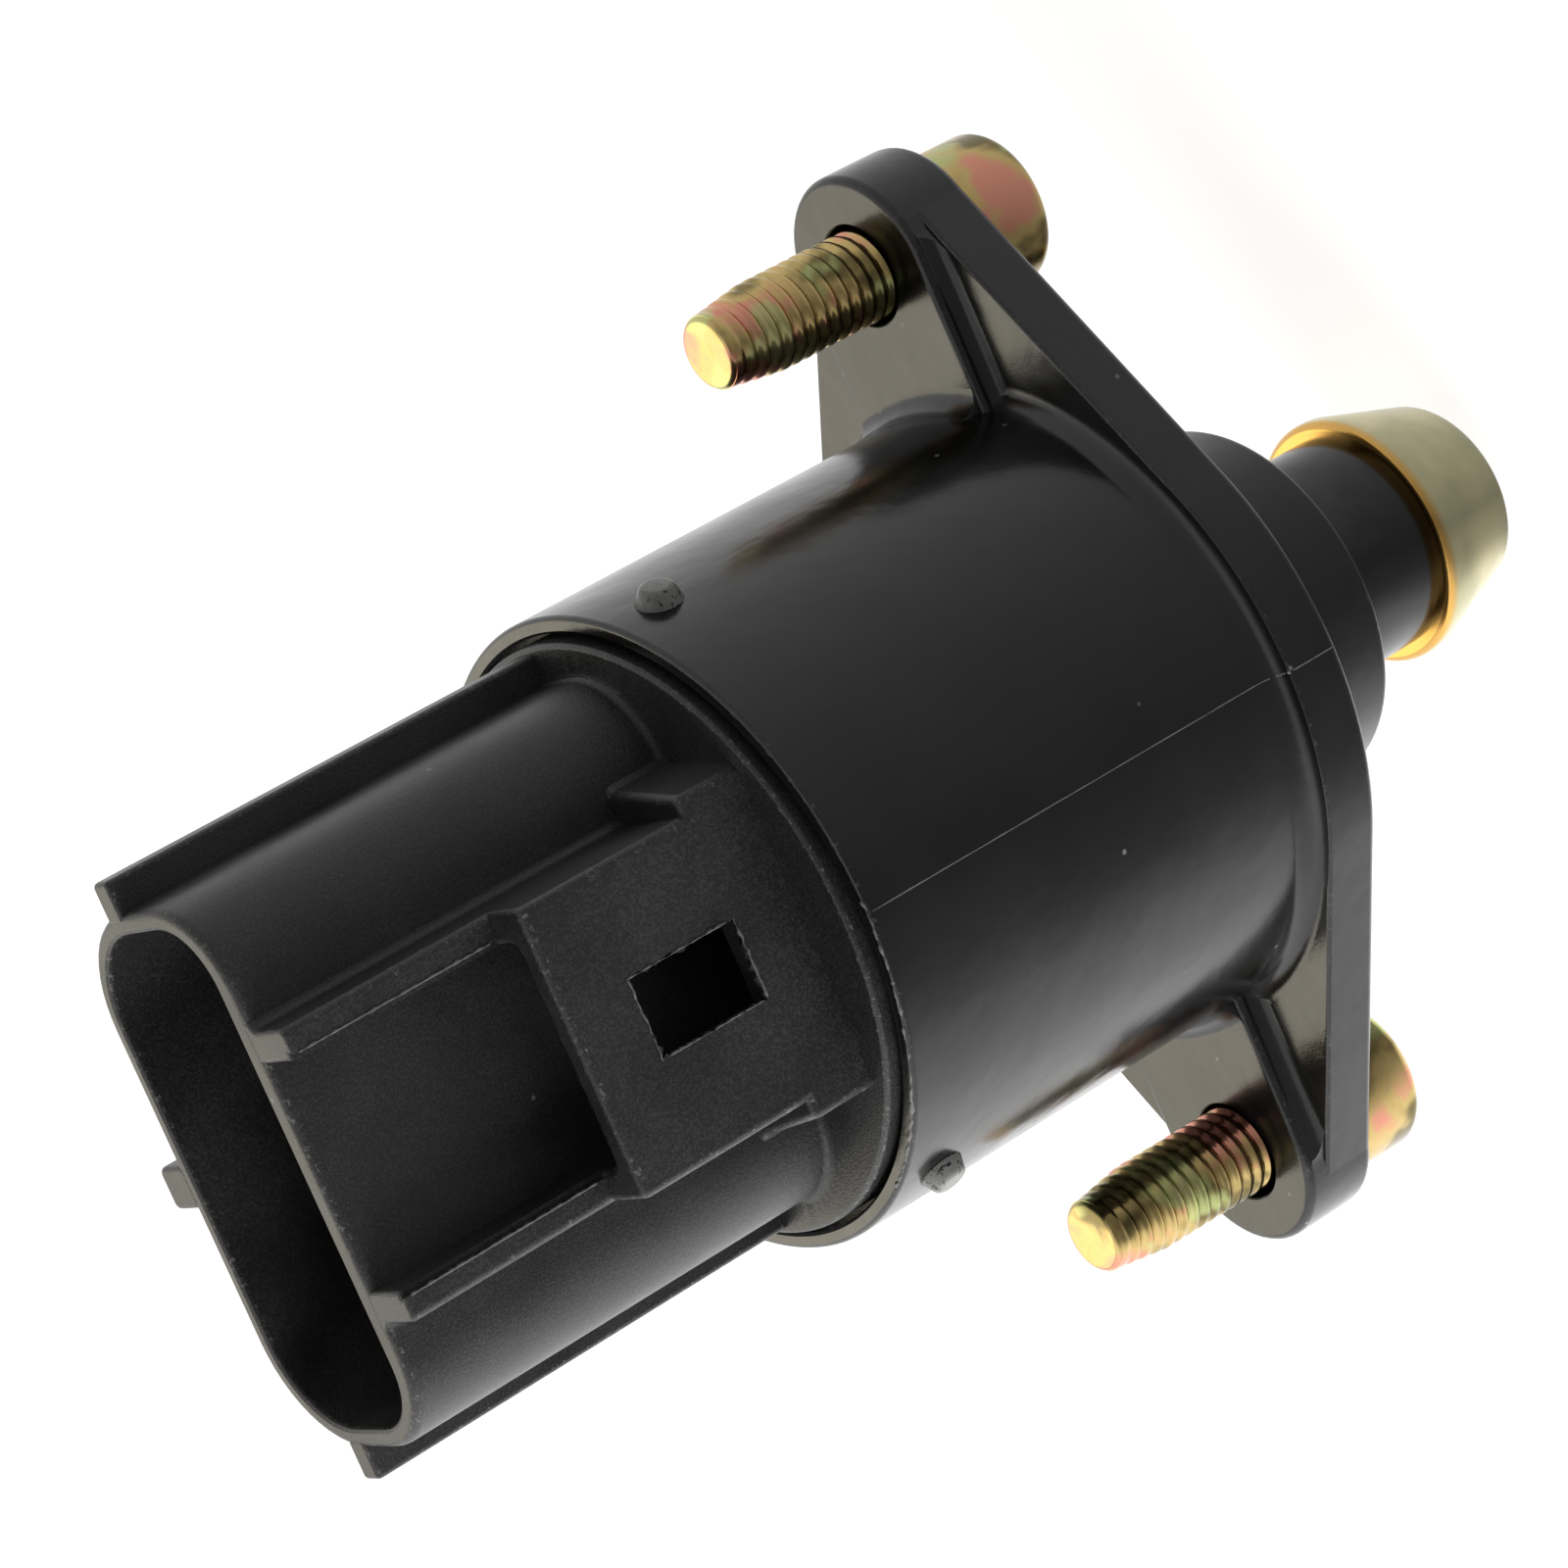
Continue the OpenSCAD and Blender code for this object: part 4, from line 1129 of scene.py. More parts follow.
    def _bore(self) -> Outline:
        """Draw the stepped bore from the nose to the mouth.

        Returns:
            The outline of (radius, height), open past both ends.
        """
        over, nose, edge, mouth = 1.0, -self.nose_len, self.bore_edge, self.mouth_r + self.mouth_edge
        (wiper_low, wiper_high), (guide_low, guide_high) = self.wiper_z, self.guide_z
        outline = [(0.0, nose - over), (self.bore_r + edge, nose - over), (self.bore_r + edge, nose)]
        outline += [(self.bore_r, nose + edge), (self.bore_r, wiper_low), (self.wiper_r, wiper_low)]
        outline += [(self.wiper_r, wiper_high), (self.bore_r, wiper_high), (self.bore_r, guide_low)]
        outline += [(self.guide_r, guide_low), (self.guide_r, guide_high), (self.bearing_r, guide_high)]
        outline += [(self.bearing_r, self.bearing_top)]
        outline += [(self.bearing_wall_r, self.bearing_top), (self.bearing_wall_r, self.motor_z)]
        outline += [(self.motor_r, self.motor_z), (self.motor_r, self.ledge_z), (self.mouth_r, self.ledge_z)]
        outline += [(self.mouth_r, self.rim_z - self.mouth_edge), (mouth, self.rim_z)]
        return outline + [(mouth, self.rim_z + over), (0.0, self.rim_z + over)]

    def _cuts(self) -> list[bpy.types.Object]:
        """Make the cutters of the bore, the face seal's groove and the ear holes.

        Returns:
            The cutters, in place.
        """
        over, (inner, outer), wide = 1.0, self.seal_groove, self.hole_r + self.hole_edge
        groove = [(inner, -over), (outer, -over), (outer, self.seal_depth), (inner, self.seal_depth)]
        cuts = [turned(self._bore()), turned(groove)]
        hole = [(0.0, -over), (wide, -over), (wide, 0.0), (self.hole_r, self.hole_edge)]
        hole += [(self.hole_r, self.ear_t - self.hole_edge), (wide, self.ear_t), (wide, self.ear_t + over)]
        for side in (-1, 1):
            cut = turned(hole + [(0.0, self.ear_t + over)], 64)
            cut.data.transform(Matrix.Translation((side * self.span / 2, 0, 0)))
            cuts.append(cut)
        return cuts

    def build(self, shop: Workshop) -> list[bpy.types.Object]:
        """Build and dress the body.

        Args:
            shop: the materials and geometry trees.

        Returns:
            The pieces.
        """
        under = self.flange_edge
        flange = loft(self._flange_outline(), rounded_steps(0, self.flange_t, under, self.top_edge))
        arms = loft(self._arm_outline(), rounded_steps(0, self.ear_t, under, self.arm_edge))
        forms = [flange, arms, *self._arm_fillets(), *self._pips()]
        body = combine(self._turned_outside(), forms, Join.UNITE)
        body = finish_form(combine(body, self._cuts(), Join.CUT), "moulded_body")
        # Painted highlight: the pips' faces get a rounding mark above 1, so the lighter edge colour covers
        # them whole.
        marks = body.data.attributes["rounding"].data
        pip_foot, clear_of_flange = (self.body_r + 0.3 * self.pip_h) * MM, 20 * MM
        for face in body.data.polygons:
            if face.center.xy.length > pip_foot and face.center.z > clear_of_flange:
                marks[face.index].value = self.pip_wear
        dress(body, shop.paint[Finish.body_plastic])
        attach(body, "housing")
        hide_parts("body_housing")
        return [body]


@dataclass
class Cap:
    """The connector cap with its socket, latch rails and windowed bridge."""

    bottom_z: float = 25.4
    ledge_z: float = 28.7
    roof_z: float = 29.55
    disc_top: float = 31.75
    floor_z: float = 41.5
    mouth_z: float = 58.2
    disc_r: float = 16.3
    plug_r: float = 15.6
    cavity_r: float = 12.5
    groove: Point = (13.8, 26.0, 28.1)
    half_x: float = 14.25
    front: float = 7.1
    back: float = 6.3
    front_r: float = 4.8
    back_r: float = 5.8
    wall: float = 1.1
    front_extra: float = 0.35
    floor_t: float = 2.0
    foot_steps: tuple[Pair, ...] = ((-0.5, -0.01), (-0.15, 0.12), (-0.04, 0.3), (0.0, 0.5))
    mouth_steps: tuple[Pair, ...] = ((0.0, -0.3), (-0.08, -0.1), (-0.25, 0.0), (-0.25, 1.0))
    rail_in: float = 5.95
    rail_out: float = 7.6
    rail_y: float = 10.0
    rail_step: float = 0.35
    rail_foot: float = 0.5
    bridge_y: float = 12.9
    bridge_t: float = 1.5
    bridge_top: float = 45.9
    bridge_edge: float = 0.4
    bridge_corner: float = 0.7
    window_w: float = 4.4
    window: Pair = (35.3, 42.0)
    window_spare: float = 0.1
    flash_t: float = 0.25
    haunch_top: float = 35.55
    haunch_w: float = 1.0
    haunch_foot_w: float = 1.7
    haunch_toe: float = 0.3
    fin_out: float = 15.95
    fin_y: Pair = (0.35, 1.85)
    key_w: float = 2.3
    key_y: float = 8.3
    key_edge: float = 0.4
    blade_pitch: float = 5.0
    blade_w: float = 2.8
    blade_t: float = 0.8
    edge: float = 0.28
    long_edge: float = 0.45
    mouth_edge: float = 0.5
    sink: float = 0.5
    root: float = 0.2

    def _outline(self, wall: float, front_wall: float) -> Outline:
        """Draw the socket's outline.

        Args:
            wall: how far it is drawn in at the sides and the back.
            front_wall: how far it is drawn in at the front.

        Returns:
            The outline, anticlockwise.
        """
        x, front, back = self.half_x - wall, -self.front + front_wall, self.back - wall
        rf, rb = self.front_r - front_wall, self.back_r - wall
        corners = ((x - rb, back - rb, rb, 0), (rb - x, back - rb, rb, 90),
                   (rf - x, front + rf, rf, 180), (x - rf, front + rf, rf, 270))
        return [point for cx, cy, r, a in corners for point in arc(cx, cy, r, a, a + 90, 12)]

    def _disc(self) -> bpy.types.Object:
        """Turn the disc with the plug below it and the seal's groove.

        Returns:
            The form, still without its hollow.
        """
        inner, low, high = self.groove
        outline = [(0.0, self.bottom_z), (self.plug_r, self.bottom_z), (self.plug_r, low), (inner, low)]
        outline += [(inner, high), (self.plug_r, high), (self.plug_r, self.ledge_z)]
        outline += [(self.disc_r, self.ledge_z)]
        outline += arc(self.disc_r - self.edge, self.disc_top - self.edge, self.edge, 0, 90, 5)
        return turned(outline + [(0.0, self.disc_top)])

    def _socket(self) -> bpy.types.Object:
        """Raise the socket's wall, from a hollow foot on the disc to a rounded lip.

        Returns:
            The form, still without its hollow.
        """
        foot = [(grow, self.disc_top + z) for grow, z in self.foot_steps]
        start = (foot[0][0], self.roof_z + self.root)
        lip = rounded_steps(0, self.mouth_z, 0.0, self.mouth_edge)[1:]
        return loft(self._outline(0.0, 0.0), [start, *foot, *lip])

    def _rise(self, outline: Outline, top: float, edge: float) -> bpy.types.Object:
        """Return a form that rises out of the disc to a rounded top."""
        return loft(outline, rounded_steps(self.disc_top - self.sink, top, 0.0, edge))

    def _rail(self) -> Outline:
        """Draw one latch rail, with a rounded top and a hollow foot.

        Returns:
            The outline of the rail at +X.
        """
        root, soft, foot, step = -self.front + self.wall / 2, self.long_edge, self.rail_foot, self.rail_step
        inner, out, top = self.rail_in, self.rail_out, -self.rail_y
        outline = [(inner, root), (inner, top + step), (inner + step, top + step), (inner + step, top)]
        outline += arc(out - soft, top + soft, soft, 270, 360, 5)
        outline += arc(out + foot, -self.front - foot, foot, 180, 90, 5)
        return outline + [(out + foot, root)]

    def _bridge(self) -> Outline:
        """Draw the bridge over the latch channel, with rounded corners outside and in.

        Returns:
            The outline.
        """
        root, soft, out, top = -self.front + self.wall / 2, self.long_edge, self.rail_out, -self.bridge_y
        near, under, corner = self.rail_in, top + self.bridge_t, self.bridge_corner
        outline = [(-out, root)] + arc(soft - out, top + soft, soft, 180, 270, 5)
        outline += arc(out - soft, top + soft, soft, 270, 360, 5) + [(out, root), (near, root)]
        outline += arc(near - corner, under + corner, corner, 0, -90, 5)
        return outline + arc(corner - near, under + corner, corner, -90, -180, 5) + [(-near, root)]

    def _haunch(self) -> Outline:
        """Draw the gusset beside the bridge at the disc.

        Returns:
            The outline of the gusset at +X.
        """
        near, soft, toe, root = self.rail_out - 1.0, self.long_edge, self.haunch_toe, -self.front + self.sink
        out, foot, top = self.rail_out + self.haunch_w, self.rail_out + self.haunch_foot_w, -self.bridge_y
        outline = [(near, root), (near, top)] + arc(out - soft, top + soft, soft, 270, 354, 5)
        return outline + [(foot, -self.front - toe), (foot + toe, -self.front), (foot + toe, root)]

    def _forms(self) -> list[bpy.types.Object]:
        """Make everything that stands on the disc.

        Returns:
            The socket, the bridge, two rails, two haunches, two fins and the key rib.
        """
        forms = [self._socket(), self._rise(self._bridge(), self.bridge_top, self.bridge_edge)]
        rail, haunch = self._rail(), self._haunch()
        forms += [self._rise(side, self.mouth_z, self.edge) for side in (mirrored(rail), rail)]
        forms += [self._rise(side, self.haunch_top, self.long_edge) for side in (mirrored(haunch), haunch)]
        fin = box_outline((self.half_x - self.wall / 2, self.fin_out), self.fin_y, self.edge)
        key_y = (self.back - self.wall / 2, self.key_y)
        key = box_outline((-self.key_w / 2, self.key_w / 2), key_y, self.key_edge)
        return forms + [self._rise(part, self.mouth_z, self.edge) for part in (fin, mirrored(fin), key)]

    def _window_cuts(self) -> list[bpy.types.Object]:
        """Make the window's cutters: a ragged edge at the face and a clean hole behind it.

        Returns:
            The two cutters.
        """
        rng = random.Random(7)
        step_mm, over, overlap, through, bites = 0.28, 0.5, 0.05, 3.0, (0.0, 0.05, 0.1, 0.2, 0.3)
        half, (low, high), spare, face = self.window_w / 2, self.window, self.window_spare, -self.bridge_y
        wide = box_outline((-half - spare, half + spare), (low - spare, high + spare))
        inner = loft(wide, [(0.0, face + self.flash_t), (0.0, face + through)], Axis.Y)
        corners = box_outline((-half, half), self.window)
        points = []
        for i, (x, y) in enumerate(corners):
            to_x, to_y = corners[(i + 1) % 4]
            count = int(math.dist((x, y), (to_x, to_y)) / step_mm)
            for k in range(count):
                rough = rng.choice(bites) * rng.uniform(0.5, 1.0)
                px, py = x + (to_x - x) * k / count, y + (to_y - y) * k / count
                inward = Vector((-(to_y - y), to_x - x)).normalized() * rough
                points.append((px + inward.x, py + inward.y))
        return [inner, loft(points, [(0.0, face - over), (0.0, face + self.flash_t + overlap)], Axis.Y)]

    def _cuts(self) -> list[bpy.types.Object]:
        """Make the cutters of the socket, the space behind its floor and the blades' slots.

        Returns:
            The cutters, in place.
        """
        over, under = 1.0, self.floor_z - self.floor_t
        mouth = [(grow, self.mouth_z + z) for grow, z in self.mouth_steps]
        socket = loft(self._outline(self.wall, self.wall + self.front_extra), [(0.0, self.floor_z), *mouth])
        inner = self._outline(2 * self.wall, 2 * self.wall)
        neck = loft(inner, [(0.0, self.roof_z - self.sink), (0.0, under)])
        skirt = turned([(0.0, self.bottom_z - over), (self.cavity_r, self.bottom_z - over),
                        (self.cavity_r, self.roof_z), (0.0, self.roof_z)])
        cuts = [socket, neck, skirt, *self._window_cuts()]
        middle, half_w, half_t = (self.back - self.front) / 2, self.blade_w / 2, self.blade_t / 2
        for i in range(4):
            x = (i - 1.5) * self.blade_pitch
            slot = box_outline((x - half_w, x + half_w), (middle - half_t, middle + half_t))
            cuts.append(loft(slot, [(0.0, under - over), (0.0, self.floor_z + over)]))
        return cuts

    def build(self, shop: Workshop) -> list[bpy.types.Object]:
        """Build and dress the cap.

        Args:
            shop: the materials and geometry trees.

        Returns:
            The pieces.
        """
        cap = combine(self._disc(), self._forms(), Join.UNITE)
        cap = finish_form(combine(cap, self._cuts(), Join.CUT), "plug_cap")
        dress(cap, shop.paint[Finish.cap_plastic])
        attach(cap, "housing")
        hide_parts("connector_cap")
        return [cap]


@dataclass
class Pintle:
    """The turned pintle head and the black sleeve behind it."""

    rim_z: float = -18.1
    tip_z: float = -25.2
    rim_r: float = 7.1
    rim_round: float = 0.5
    tip_round: float = 1.4
    cone_deg: float = 17.0
    sleeve_r: float = 6.2
    sleeve_in_r: float = 5.6
    sleeve_top: float = -7.0
    sleeve_edge: float = 0.12
    spigot_r: float = 5.55
    floor_z: float = -16.6
    seat_r: float = 2.025
    seat_depth: float = 5.0
    sharp_deg: float = 35.0

    def _head(self) -> bpy.types.Object:
        """Turn the head: a spigot, a narrow rim and a cone with a rounded tip.

        Returns:
            The head.
        """
        slope, seat_z = math.radians(self.cone_deg), self.floor_z - self.seat_depth
        cone_z, round_z = self.rim_z - 2 * self.rim_round, self.tip_z + self.tip_round
        end_z = round_z - self.tip_round * math.sin(slope)
        end_r = self.rim_r - (cone_z - end_z) * math.tan(slope)
        outline = [(self.spigot_r, self.rim_z), (self.spigot_r, self.floor_z)]
        outline += [(self.seat_r, self.floor_z), (self.seat_r, seat_z), (0, seat_z), (0, self.tip_z)]
        flat_r = end_r - self.tip_round * math.cos(slope)
        outline += arc(flat_r, round_z, self.tip_round, -90, -self.cone_deg, 12)
        outline += [(self.rim_r, cone_z)]
        outline += arc(self.rim_r - self.rim_round, self.rim_z - self.rim_round, self.rim_round, 0, 90)
        return to_object(lathe(outline), "turned_pintle")

    def _sleeve(self) -> bpy.types.Object:
        """Turn the sleeve, with its upper edge broken.

        Returns:
            The sleeve.
        """
        edge = self.sleeve_edge
        outline = [(self.sleeve_in_r, self.rim_z), (self.sleeve_r, self.rim_z)]
        outline += arc(self.sleeve_r - edge, self.sleeve_top - edge, edge, 0, 90, 4)
        outline += arc(self.sleeve_in_r + edge, self.sleeve_top - edge, edge, 90, 180, 4)
        return to_object(lathe(outline), "turned_sleeve")

    def build(self, shop: Workshop) -> list[bpy.types.Object]:
        """Build and dress the pintle.

        Args:
            shop: the materials and geometry trees.

        Returns:
            The pieces.
        """
        head, sleeve = self._head(), self._sleeve()
        finishes = {head: Finish.pintle_metal, sleeve: Finish.black_steel}
        for piece, node in ((head, "pintle_head"), (sleeve, "pintle_sleeve")):
            piece.data.set_sharp_from_angle(angle=math.radians(self.sharp_deg))
            dress(piece, shop.paint[finishes[piece]])
            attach(piece, "pintle")
            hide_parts(node)
        return [head, sleeve]


@dataclass
class ReturnSpring:
    """The coil spring behind the pintle, built at one length; in the valve it shortens as the pintle draws
    in.
    """

    low_z: float
    high_z: float = 0.7
    coil_r: float = 4.85
    wire_r: float = 0.4
    wire_step: float = 0.9
    turns: int = 7
    closed_rise: float = 2.1
    travel: float = 7.5
    steps: int = 24

    def _height(self, turn: float) -> float:
        """Return the wire's height after some turns; the first and the last lie close.

        Args:
            turn: how many turns the wire has made.

        Returns:
            The height above the lower end, in millimetres.
        """
        whole = self.high_z - self.low_z - 2 * self.wire_r
        close = self.closed_rise * self.wire_r
        if turn < 1:
            return close * turn
        if turn > self.turns - 1:
            return whole - close * (self.turns - turn)
        return close + (whole - 2 * close) * (turn - 1) / (self.turns - 2)

    def build(self, shop: Workshop) -> list[bpy.types.Object]:
        """Build and dress the spring.

        Args:
            shop: the materials and geometry trees.

        Returns:
            The pieces.
        """
        path = []
        for i in range(self.turns * self.steps + 1):
            turn = i / self.steps
            x, y = (self.coil_r * f(math.tau * turn) for f in (math.cos, math.sin))
            path.append((x, y, self.low_z + self.wire_r + self._height(turn)))
        wire = Bead(self.wire_r, self.wire_step, uneven=0.0, wander=0.0)
        steel = shop.paint[Finish.bright_steel]
        spring = shaped(path_object("coil_spring", path), shop.shapers.bead, steel, wire.feeds())
        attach(spring, "housing")
        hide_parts("pintle_spring")
        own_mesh(spring)
        return [spring]


@dataclass
class Fasteners:
    """The two mounting screws, with real threads."""

    span: float
    radius: float = 2.5
    length: float = 15.4
    neck_r: float = 2.42
    neck_top: float = 4.0
    neck_edge: float = 0.2
    taper_len: float = 3.6
    end_r: float = 2.0
    end_len: float = 0.25
    end_round: float = 0.3
    end_flat: float = 0.9
    end_hollow: float = 0.2
    head_r: float = 4.25
    head_h: float = 5.0
    head_round: float = 0.7
    head_edge: float = 0.15
    hex_w: float = 4.0
    hex_chamfer: float = 0.25
    hex_cone: float = 0.6
    pitch: float = 0.8
    depth: float = 0.22
    run_out: float = 0.9
    thread_stop: float = 0.5
    row: float = 0.07
    lean_deg: float = 1.2
    sharp_deg: float = 50.0

    def _outline(self) -> Outline:
        """Draw half a screw, with a row of points for each step of the thread's cut.

        Returns:
            The outline of (radius, height), from the socket's floor to the tip.
        """
        hex_r, hex_z, top = self.hex_w / 2, -self.head_h / 2, -self.head_h
        outline = [(0.0, hex_z - self.hex_cone), (hex_r, hex_z), (hex_r, top + self.hex_chamfer)]
        outline += [(hex_r + self.hex_chamfer, top)]
        outline += arc(self.head_r - self.head_round, top + self.head_round, self.head_round, -90, 0)
        outline += arc(self.head_r - self.head_edge, -self.head_edge, self.head_edge, 0, 90, 3)
        outline += [(self.neck_r + self.neck_edge, 0.0), (self.neck_r, self.neck_edge)]
        outline += [(self.neck_r, self.neck_top - self.neck_edge)]
        threaded = self.length - self.end_len - self.neck_top
        rows = int(threaded / self.row)
        for i in range(rows + 1):
            z = self.neck_top + threaded * i / rows
            taper = max(0.0, z - self.length + self.taper_len) / self.taper_len
            outline.append((self.radius + (self.end_r - self.radius) * taper, z))
        outline += arc(self.end_r - self.end_round, self.length - self.end_round, self.end_round, 10, 90, 5)
        return outline + [(self.end_r - self.end_flat, self.length), (0.0, self.length - self.end_hollow)]

    def _blank(self) -> bpy.types.Object:
        """Turn one screw before its thread is cut, with a hexagon socket in its head.

        Returns:
            The screw.
        """
        hex_r, hex_z, close = self.hex_w / 2, -self.head_h / 2, 1e-4
        shape = lathe(self._outline(), 72)
        for vert in shape.verts:
            if ON_AXIS < vert.co.xy.length < hex_r + close and vert.co.z < hex_z + close:
                turn = math.degrees(math.atan2(vert.co.y, vert.co.x)) % 60 - 30
                vert.co.xy = vert.co.xy / math.cos(math.radians(turn))
        return to_object(shape, "threaded_screws")

    def build(self, shop: Workshop) -> list[bpy.types.Object]:
        """Build and dress the screws.

        Args:
            shop: the materials and geometry trees.

        Returns:
            The pieces.
        """
        thread = {"Pitch": self.pitch, "Depth": self.depth, "Low": self.neck_top,
                  "High": self.length - self.thread_stop, "Run Out": self.run_out}
        feeds = {name: size * MM for name, size in thread.items()}
        feeds |= {"First": (-self.span / 2 * MM, 0.0, 0.0), "Step": (self.span * MM, 0.0, 0.0),
                  "Lean": (0.0, math.radians(self.lean_deg), 0.0)}
        screws = shaped(self._blank(), shop.shapers.screws, shop.paint[Finish.screw_steel], feeds)
        screws.data.set_sharp_from_angle(angle=math.radians(self.sharp_deg))
        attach(screws, "housing")
        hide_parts("mounting_screws")
        return [screws]


@dataclass
class MouldMarks:
    """What the moulds left: the body's seam and thin flash on the rim, the window and the rails, in a lighter
    finish that paints their highlight; the rim's flash keeps to the lit arc as a painted glint.
    """

    housing: Housing
    cap: Cap
    seam: Bead = Bead()
    nib: Bead = Bead(radius=0.11)
    flash: Bead = Bead(0.045, 0.12, 1.6, 0.22, 2200.0)
    rim_inset: float = 0.18
    rim_arc: Pair = (-146.0, -88.0)
    window_inset: float = 0.08
    rail_ends: Pair = (46.4, 57.8)
    bed: float = 0.01

    def _body_paths(self) -> dict[str, tuple[list[Point], Bead]]:
        """Lay out the marks on the body.

        Returns:
            The path and the bead of each mark.
        """
        body, out = self.housing.body_r, self.housing.flange_r
        rim_z, top = self.housing.rim_z, self.housing.flange_t
        below_rim, turn, fillet, under, sunk = 0.25, 0.3, 1.0, 0.45, 0.02
        seam = [(body, rim_z - below_rim), (body, top + fillet), (body + turn, top + turn)]
        seam += [(body + fillet, top), (out - turn, top), (out, top - turn), (out, under), (out - under, 0.0)]
        nib = [(out - 0.15, top - sunk), (out - sunk, top - 0.1)]
        # Painted glint: the rim's flash lies only along the arc where the rim catches the light.
        rim = [(x, y, rim_z - sunk) for x, y in arc(0, 0, body - self.rim_inset, *self.rim_arc, 30)]
        return {"mould_seam": ([(0.0, -r, z) for r, z in seam], self.seam),
                "seam_nib": ([(0.0, -r, z) for r, z in nib], self.nib),
                "rim_flash_glint": (rim, replace(self.flash, radius=0.055, uneven=2.2))}

    def _cap_paths(self) -> dict[str, tuple[list[Point], Bead]]:
        """Lay out the marks on the cap.

        Returns:
            The path and the bead of each mark.
        """
        half = self.cap.window_w / 2 - self.window_inset
        corners = box_outline((-half, half), self.cap.window)
        window = [(x, -self.cap.bridge_y - self.bed, z) for x, z in [*corners, corners[0]]]
        marks = {"window_flash": (window, self.flash)}
        rail_x, rail_y = self.cap.rail_in + self.cap.rail_step, -self.cap.rail_y - self.bed
        for side, name in ((1, "rail_flash_plus"), (-1, "rail_flash_minus")):
            bead = replace(self.flash, radius=0.06, uneven=0.9, wander=0.14, seed=0.01 * side)
            marks[name] = ([(side * rail_x, rail_y, z) for z in self.rail_ends], bead)
        return marks

    def build(self, shop: Workshop) -> list[bpy.types.Object]:
        """Build and dress the marks.

        Args:
            shop: the materials and geometry trees.

        Returns:
            The pieces.
        """
        pieces = []
        # The flash finish is lighter than the plastics it lies on: a painted highlight on the beads.
        thin = shop.paint[Finish.flash_plastic]
        carriers = {Finish.body_plastic: self._body_paths(), Finish.cap_plastic: self._cap_paths()}
        for finish, paths in carriers.items():
            for name, (path, bead) in paths.items():
                mark = shaped(path_object(name, path), shop.shapers.bead, thin, bead.feeds())
                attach(mark, "housing")
                pieces.append(mark)
        return pieces


# Studio


def seen_straight(desk: Desk) -> Socket:
    """Tell what is looked at, straight or in gloss or glass, from what only lights things.

    Args:
        desk: the tree's desk.

    Returns:
        1 for what is looked at and 0 for the rest.
    """
    light = desk.add("ShaderNodeLightPath").outputs
    seen = desk.math("MAXIMUM", light["Is Camera Ray"], light["Is Glossy Ray"])
    return desk.math("MAXIMUM", seen, light["Is Transmission Ray"])


@dataclass(frozen=True)
class Lamp:
    """A soft area lamp that looks at the valve, its sizes in millimetres."""

    name: str
    place: Point
    size: Pair
    radiance: float
    colour: Point = (1.0, 1.0, 1.0)
    in_gloss: bool = False
    aim: Point = (0.0, 0.0, 15.0)

    def hang(self) -> None:
        """Hang the lamp in the scene."""
        data = bpy.data.lights.new(self.name, "AREA")
        data.shape = "RECTANGLE"
        data.size, data.size_y = (side * MM for side in self.size)
        data.energy = self.radiance * math.pi * data.size * data.size_y
        data.color = self.colour
        lamp = bpy.data.objects.new(self.name, data)
        lamp.visible_glossy = self.in_gloss
        bpy.context.scene.collection.objects.link(lamp)
        turn = (Vector(self.aim) - Vector(self.place)).to_track_quat("-Z", "Y").to_matrix().to_4x4()
        lamp.matrix_world = Matrix.Translation(Vector(self.place) * MM) @ turn


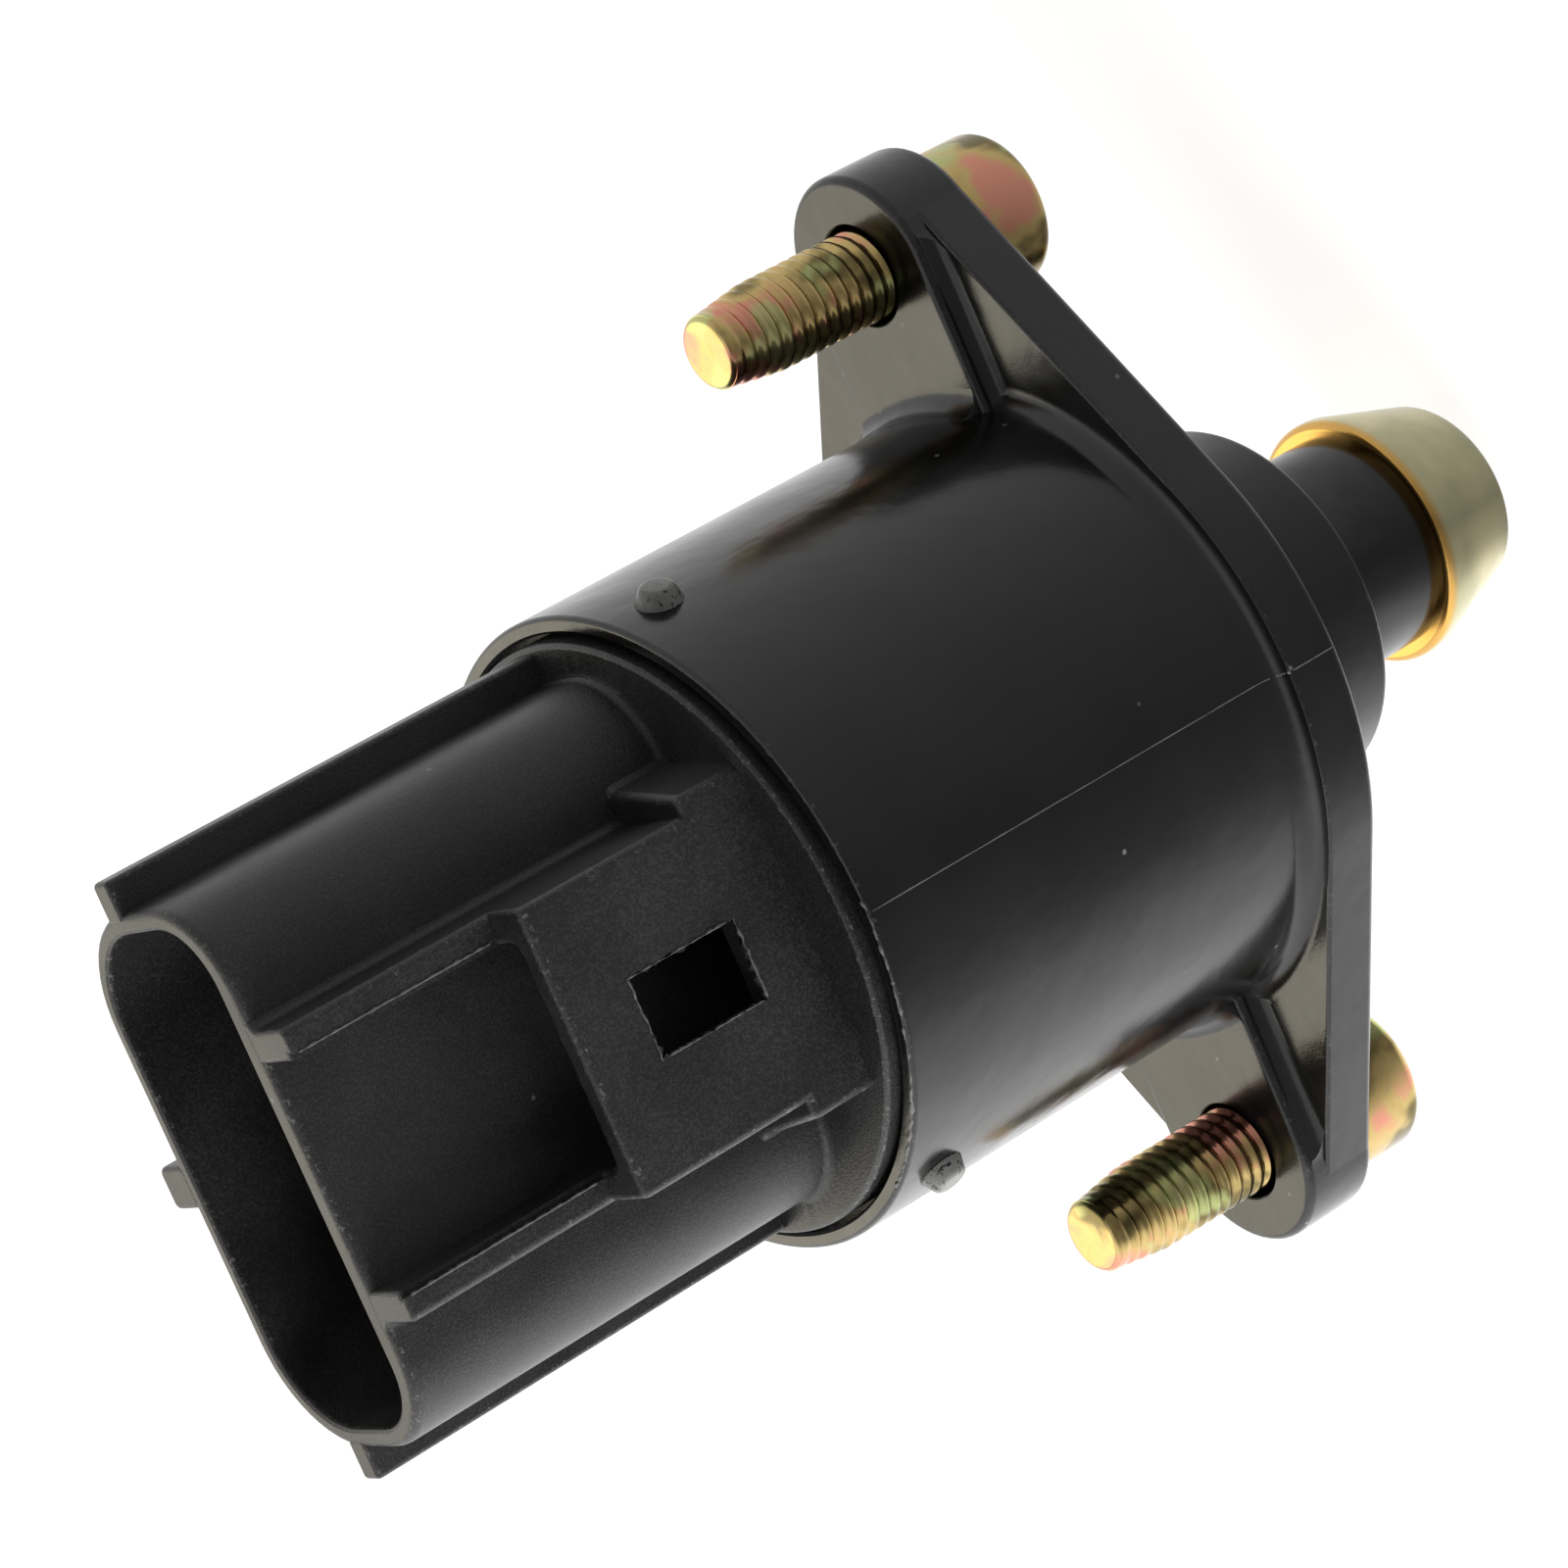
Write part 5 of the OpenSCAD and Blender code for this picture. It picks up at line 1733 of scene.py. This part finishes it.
@dataclass
class Studio:
    """Floor, lamps, surroundings and the photograph's camera."""

    camera_place: Point = (53.9315, -254.6345, 182.0887)
    camera_right: Point = (-0.396338, -0.544073, -0.739527)
    camera_up: Point = (0.903425, -0.087652, -0.419690)
    lens: float = 138.295
    floor_z: float = -26.4
    floor_half: float = 900.0
    floor_tone: float = 0.62
    floor_glow: float = 0.79
    full_glow_at: Pair = (120.0, 420.0)
    world_level: float = 0.22
    lamps: tuple[Lamp, ...] = (
        Lamp("back_softbox", (-60, 420, 330), (420, 300), 1.38, (1.0, 0.87, 0.52), True),
        Lamp("left_softbox", (-460, -200, 150), (320, 320), 10.0))
    room_r: float = 520.0
    room_z: Pair = (-26.0, 1100.0)
    room_sides: int = 72
    room_top: float = 2.0
    near_tone: float = 0.05
    near_share: float = 0.85
    near_reach: Pair = (9.0, 26.0)
    room_tones: tuple[Pair, ...] = (
        (-180, 1.3), (-130, 1.5), (-90, 1.9), (-60, 1.4), (-48, 0.8), (-38, 0.46), (-30, 0.35), (-8, 0.22),
        (3, 0.05), (26, 0.0), (36, 0.06), (46, 0.26), (60, 0.42), (76, 0.6), (100, 1.1), (120, 1.5),
        (150, 1.4), (180, 1.3))

    def _camera(self) -> None:
        """Place the camera that was solved from the photograph."""
        data = bpy.data.cameras.new("photo_camera")
        data.lens = self.lens
        data.sensor_width = 36.0
        data.clip_start = 0.01
        data.clip_end = 10.0
        eye = bpy.data.objects.new("photo_camera", data)
        bpy.context.scene.collection.objects.link(eye)
        right, up = Vector(self.camera_right), Vector(self.camera_up)
        turn = Matrix((right, up, right.cross(up))).transposed().to_4x4()
        eye.matrix_world = Matrix.Translation(Vector(self.camera_place) * MM) @ turn
        bpy.context.scene.camera = eye

    def _floor(self) -> None:
        """Lay the pale floor that shows white and keeps the shadow."""
        shape = bmesh.new()
        ends = (-self.floor_half, self.floor_half)
        shape.faces.new([shape.verts.new((x, y, self.floor_z)) for x, y in box_outline(ends, ends)])
        floor = to_object(shape, "pale_floor")
        material, desk = bare_material("pale_floor")
        matt = desk.add("ShaderNodeBsdfDiffuse", {"Color": grey(self.floor_tone)})
        away = desk.add("ShaderNodeVectorMath", {0: desk.place_mm()}, operation="LENGTH").outputs[1]
        level = desk.span(away, *self.full_glow_at, self.floor_glow, 1.0)
        strength = desk.math("MULTIPLY", seen_straight(desk), level)
        glow = desk.add("ShaderNodeEmission", {"Color": grey(1.0), "Strength": strength})
        both = desk.add("ShaderNodeAddShader", {0: matt.outputs[0], 1: glow.outputs[0]})
        desk.add("ShaderNodeOutputMaterial", {"Surface": both.outputs[0]})
        dress(floor, material)

    def _world(self) -> None:
        """Set the soft light that comes from all round."""
        world = bpy.data.worlds.new("studio")
        bpy.context.scene.world = world
        world.use_nodes = True
        world.node_tree.nodes.clear()
        desk = Desk(world.node_tree)
        strength = desk.span(seen_straight(desk), 0.0, 1.0, self.world_level, 1.0)
        glow = desk.add("ShaderNodeBackground", {"Color": grey(1.0), "Strength": strength})
        desk.add("ShaderNodeOutputWorld", {"Surface": glow.outputs[0]})

    def _room_material(self) -> bpy.types.Material:
        """Build the room's glow: a tone for each direction, evened out close to the valve.

        Returns:
            The material.
        """
        material, desk = bare_material("gloss_room")
        x, y, _ = desk.add("ShaderNodeSeparateXYZ", {0: desk.place_mm()}).outputs
        turn = desk.math("ARCTAN2", x, desk.math("MULTIPLY", y, -1.0))
        share_round = desk.math("ADD", desk.math("DIVIDE", turn, math.tau), 0.5)
        ramp = desk.add("ShaderNodeValToRGB", {"Fac": share_round})
        stops = ramp.color_ramp.elements
        for i, (degrees, tone) in enumerate(self.room_tones):
            stop = stops[i] if i < 2 else stops.new(0.5)
            stop.position = (degrees + 180) / 360
            stop.color = grey(tone / self.room_top)
        far = desk.span(desk.from_axis(x, y), *self.near_reach)
        even = desk.math("MULTIPLY", desk.math("SUBTRACT", 1.0, far), self.near_tone / self.room_top)
        share = desk.math("ADD", self.near_share, desk.math("MULTIPLY", far, 1.0 - self.near_share))
        tone = desk.math("ADD", desk.math("MULTIPLY", ramp.outputs[0], share), even)
        glow = desk.add("ShaderNodeEmission", {"Color": tone, "Strength": self.room_top})
        desk.add("ShaderNodeOutputMaterial", {"Surface": glow.outputs[0]})
        return material

    def _gloss_room(self) -> None:
        """Stand a room round the valve that only gloss can see, brighter or darker all round."""
        shape = bmesh.new()
        middle_r, (low, high) = 0.5, self.room_z
        rows = []
        for i in range(self.room_sides):
            x, y = (f(math.tau * i / self.room_sides) for f in (math.cos, math.sin))
            ring = ((middle_r, low), (self.room_r, low), (self.room_r, high))
            rows.append([shape.verts.new((r * x, r * y, z)) for r, z in ring])
        for i, a in enumerate(rows):
            b = rows[(i + 1) % self.room_sides]
            shape.faces.new([a[0], b[0], b[1], a[1]])
            shape.faces.new([a[1], b[1], b[2], a[2]])
        room = to_object(shape, "gloss_room")
        dress(room, self._room_material())
        room.visible_camera = False
        room.visible_diffuse = False
        room.visible_shadow = False
        room.visible_transmission = False

    def build(self) -> None:
        """Set up the whole studio."""
        bpy.context.scene.view_settings.view_transform = "Standard"
        self._camera()
        self._floor()
        self._world()
        self._gloss_room()
        for lamp in self.lamps:
            lamp.hang()


# The whole valve


def dress_frame(paint: Paintbox) -> None:
    """Give each CAD node the material of its slot in the record."""
    for part in frame["record"]["subparts"]:
        dress(frame["nodes"][part["node"]], paint[Finish[part["material_slot"]]])


def main() -> None:
    """Build the studio and each sub-assembly in order, and report each piece."""
    logging.basicConfig(level=logging.INFO, format="%(name)s: %(message)s")
    shop = Workshop(Paintbox(Effects()), Shapers())
    Studio().build()
    dress_frame(shop.paint)
    housing, cap, pintle = Housing(), Cap(), Pintle()
    spring, screws, marks = ReturnSpring(pintle.floor_z), Fasteners(housing.span), MouldMarks(housing, cap)
    for maker in (housing, cap, pintle, spring, screws, marks):
        for piece in maker.build(shop):
            LOG.info("%s: %d faces", piece.name, len(piece.data.polygons))


if __name__ == "__main__":
    main()
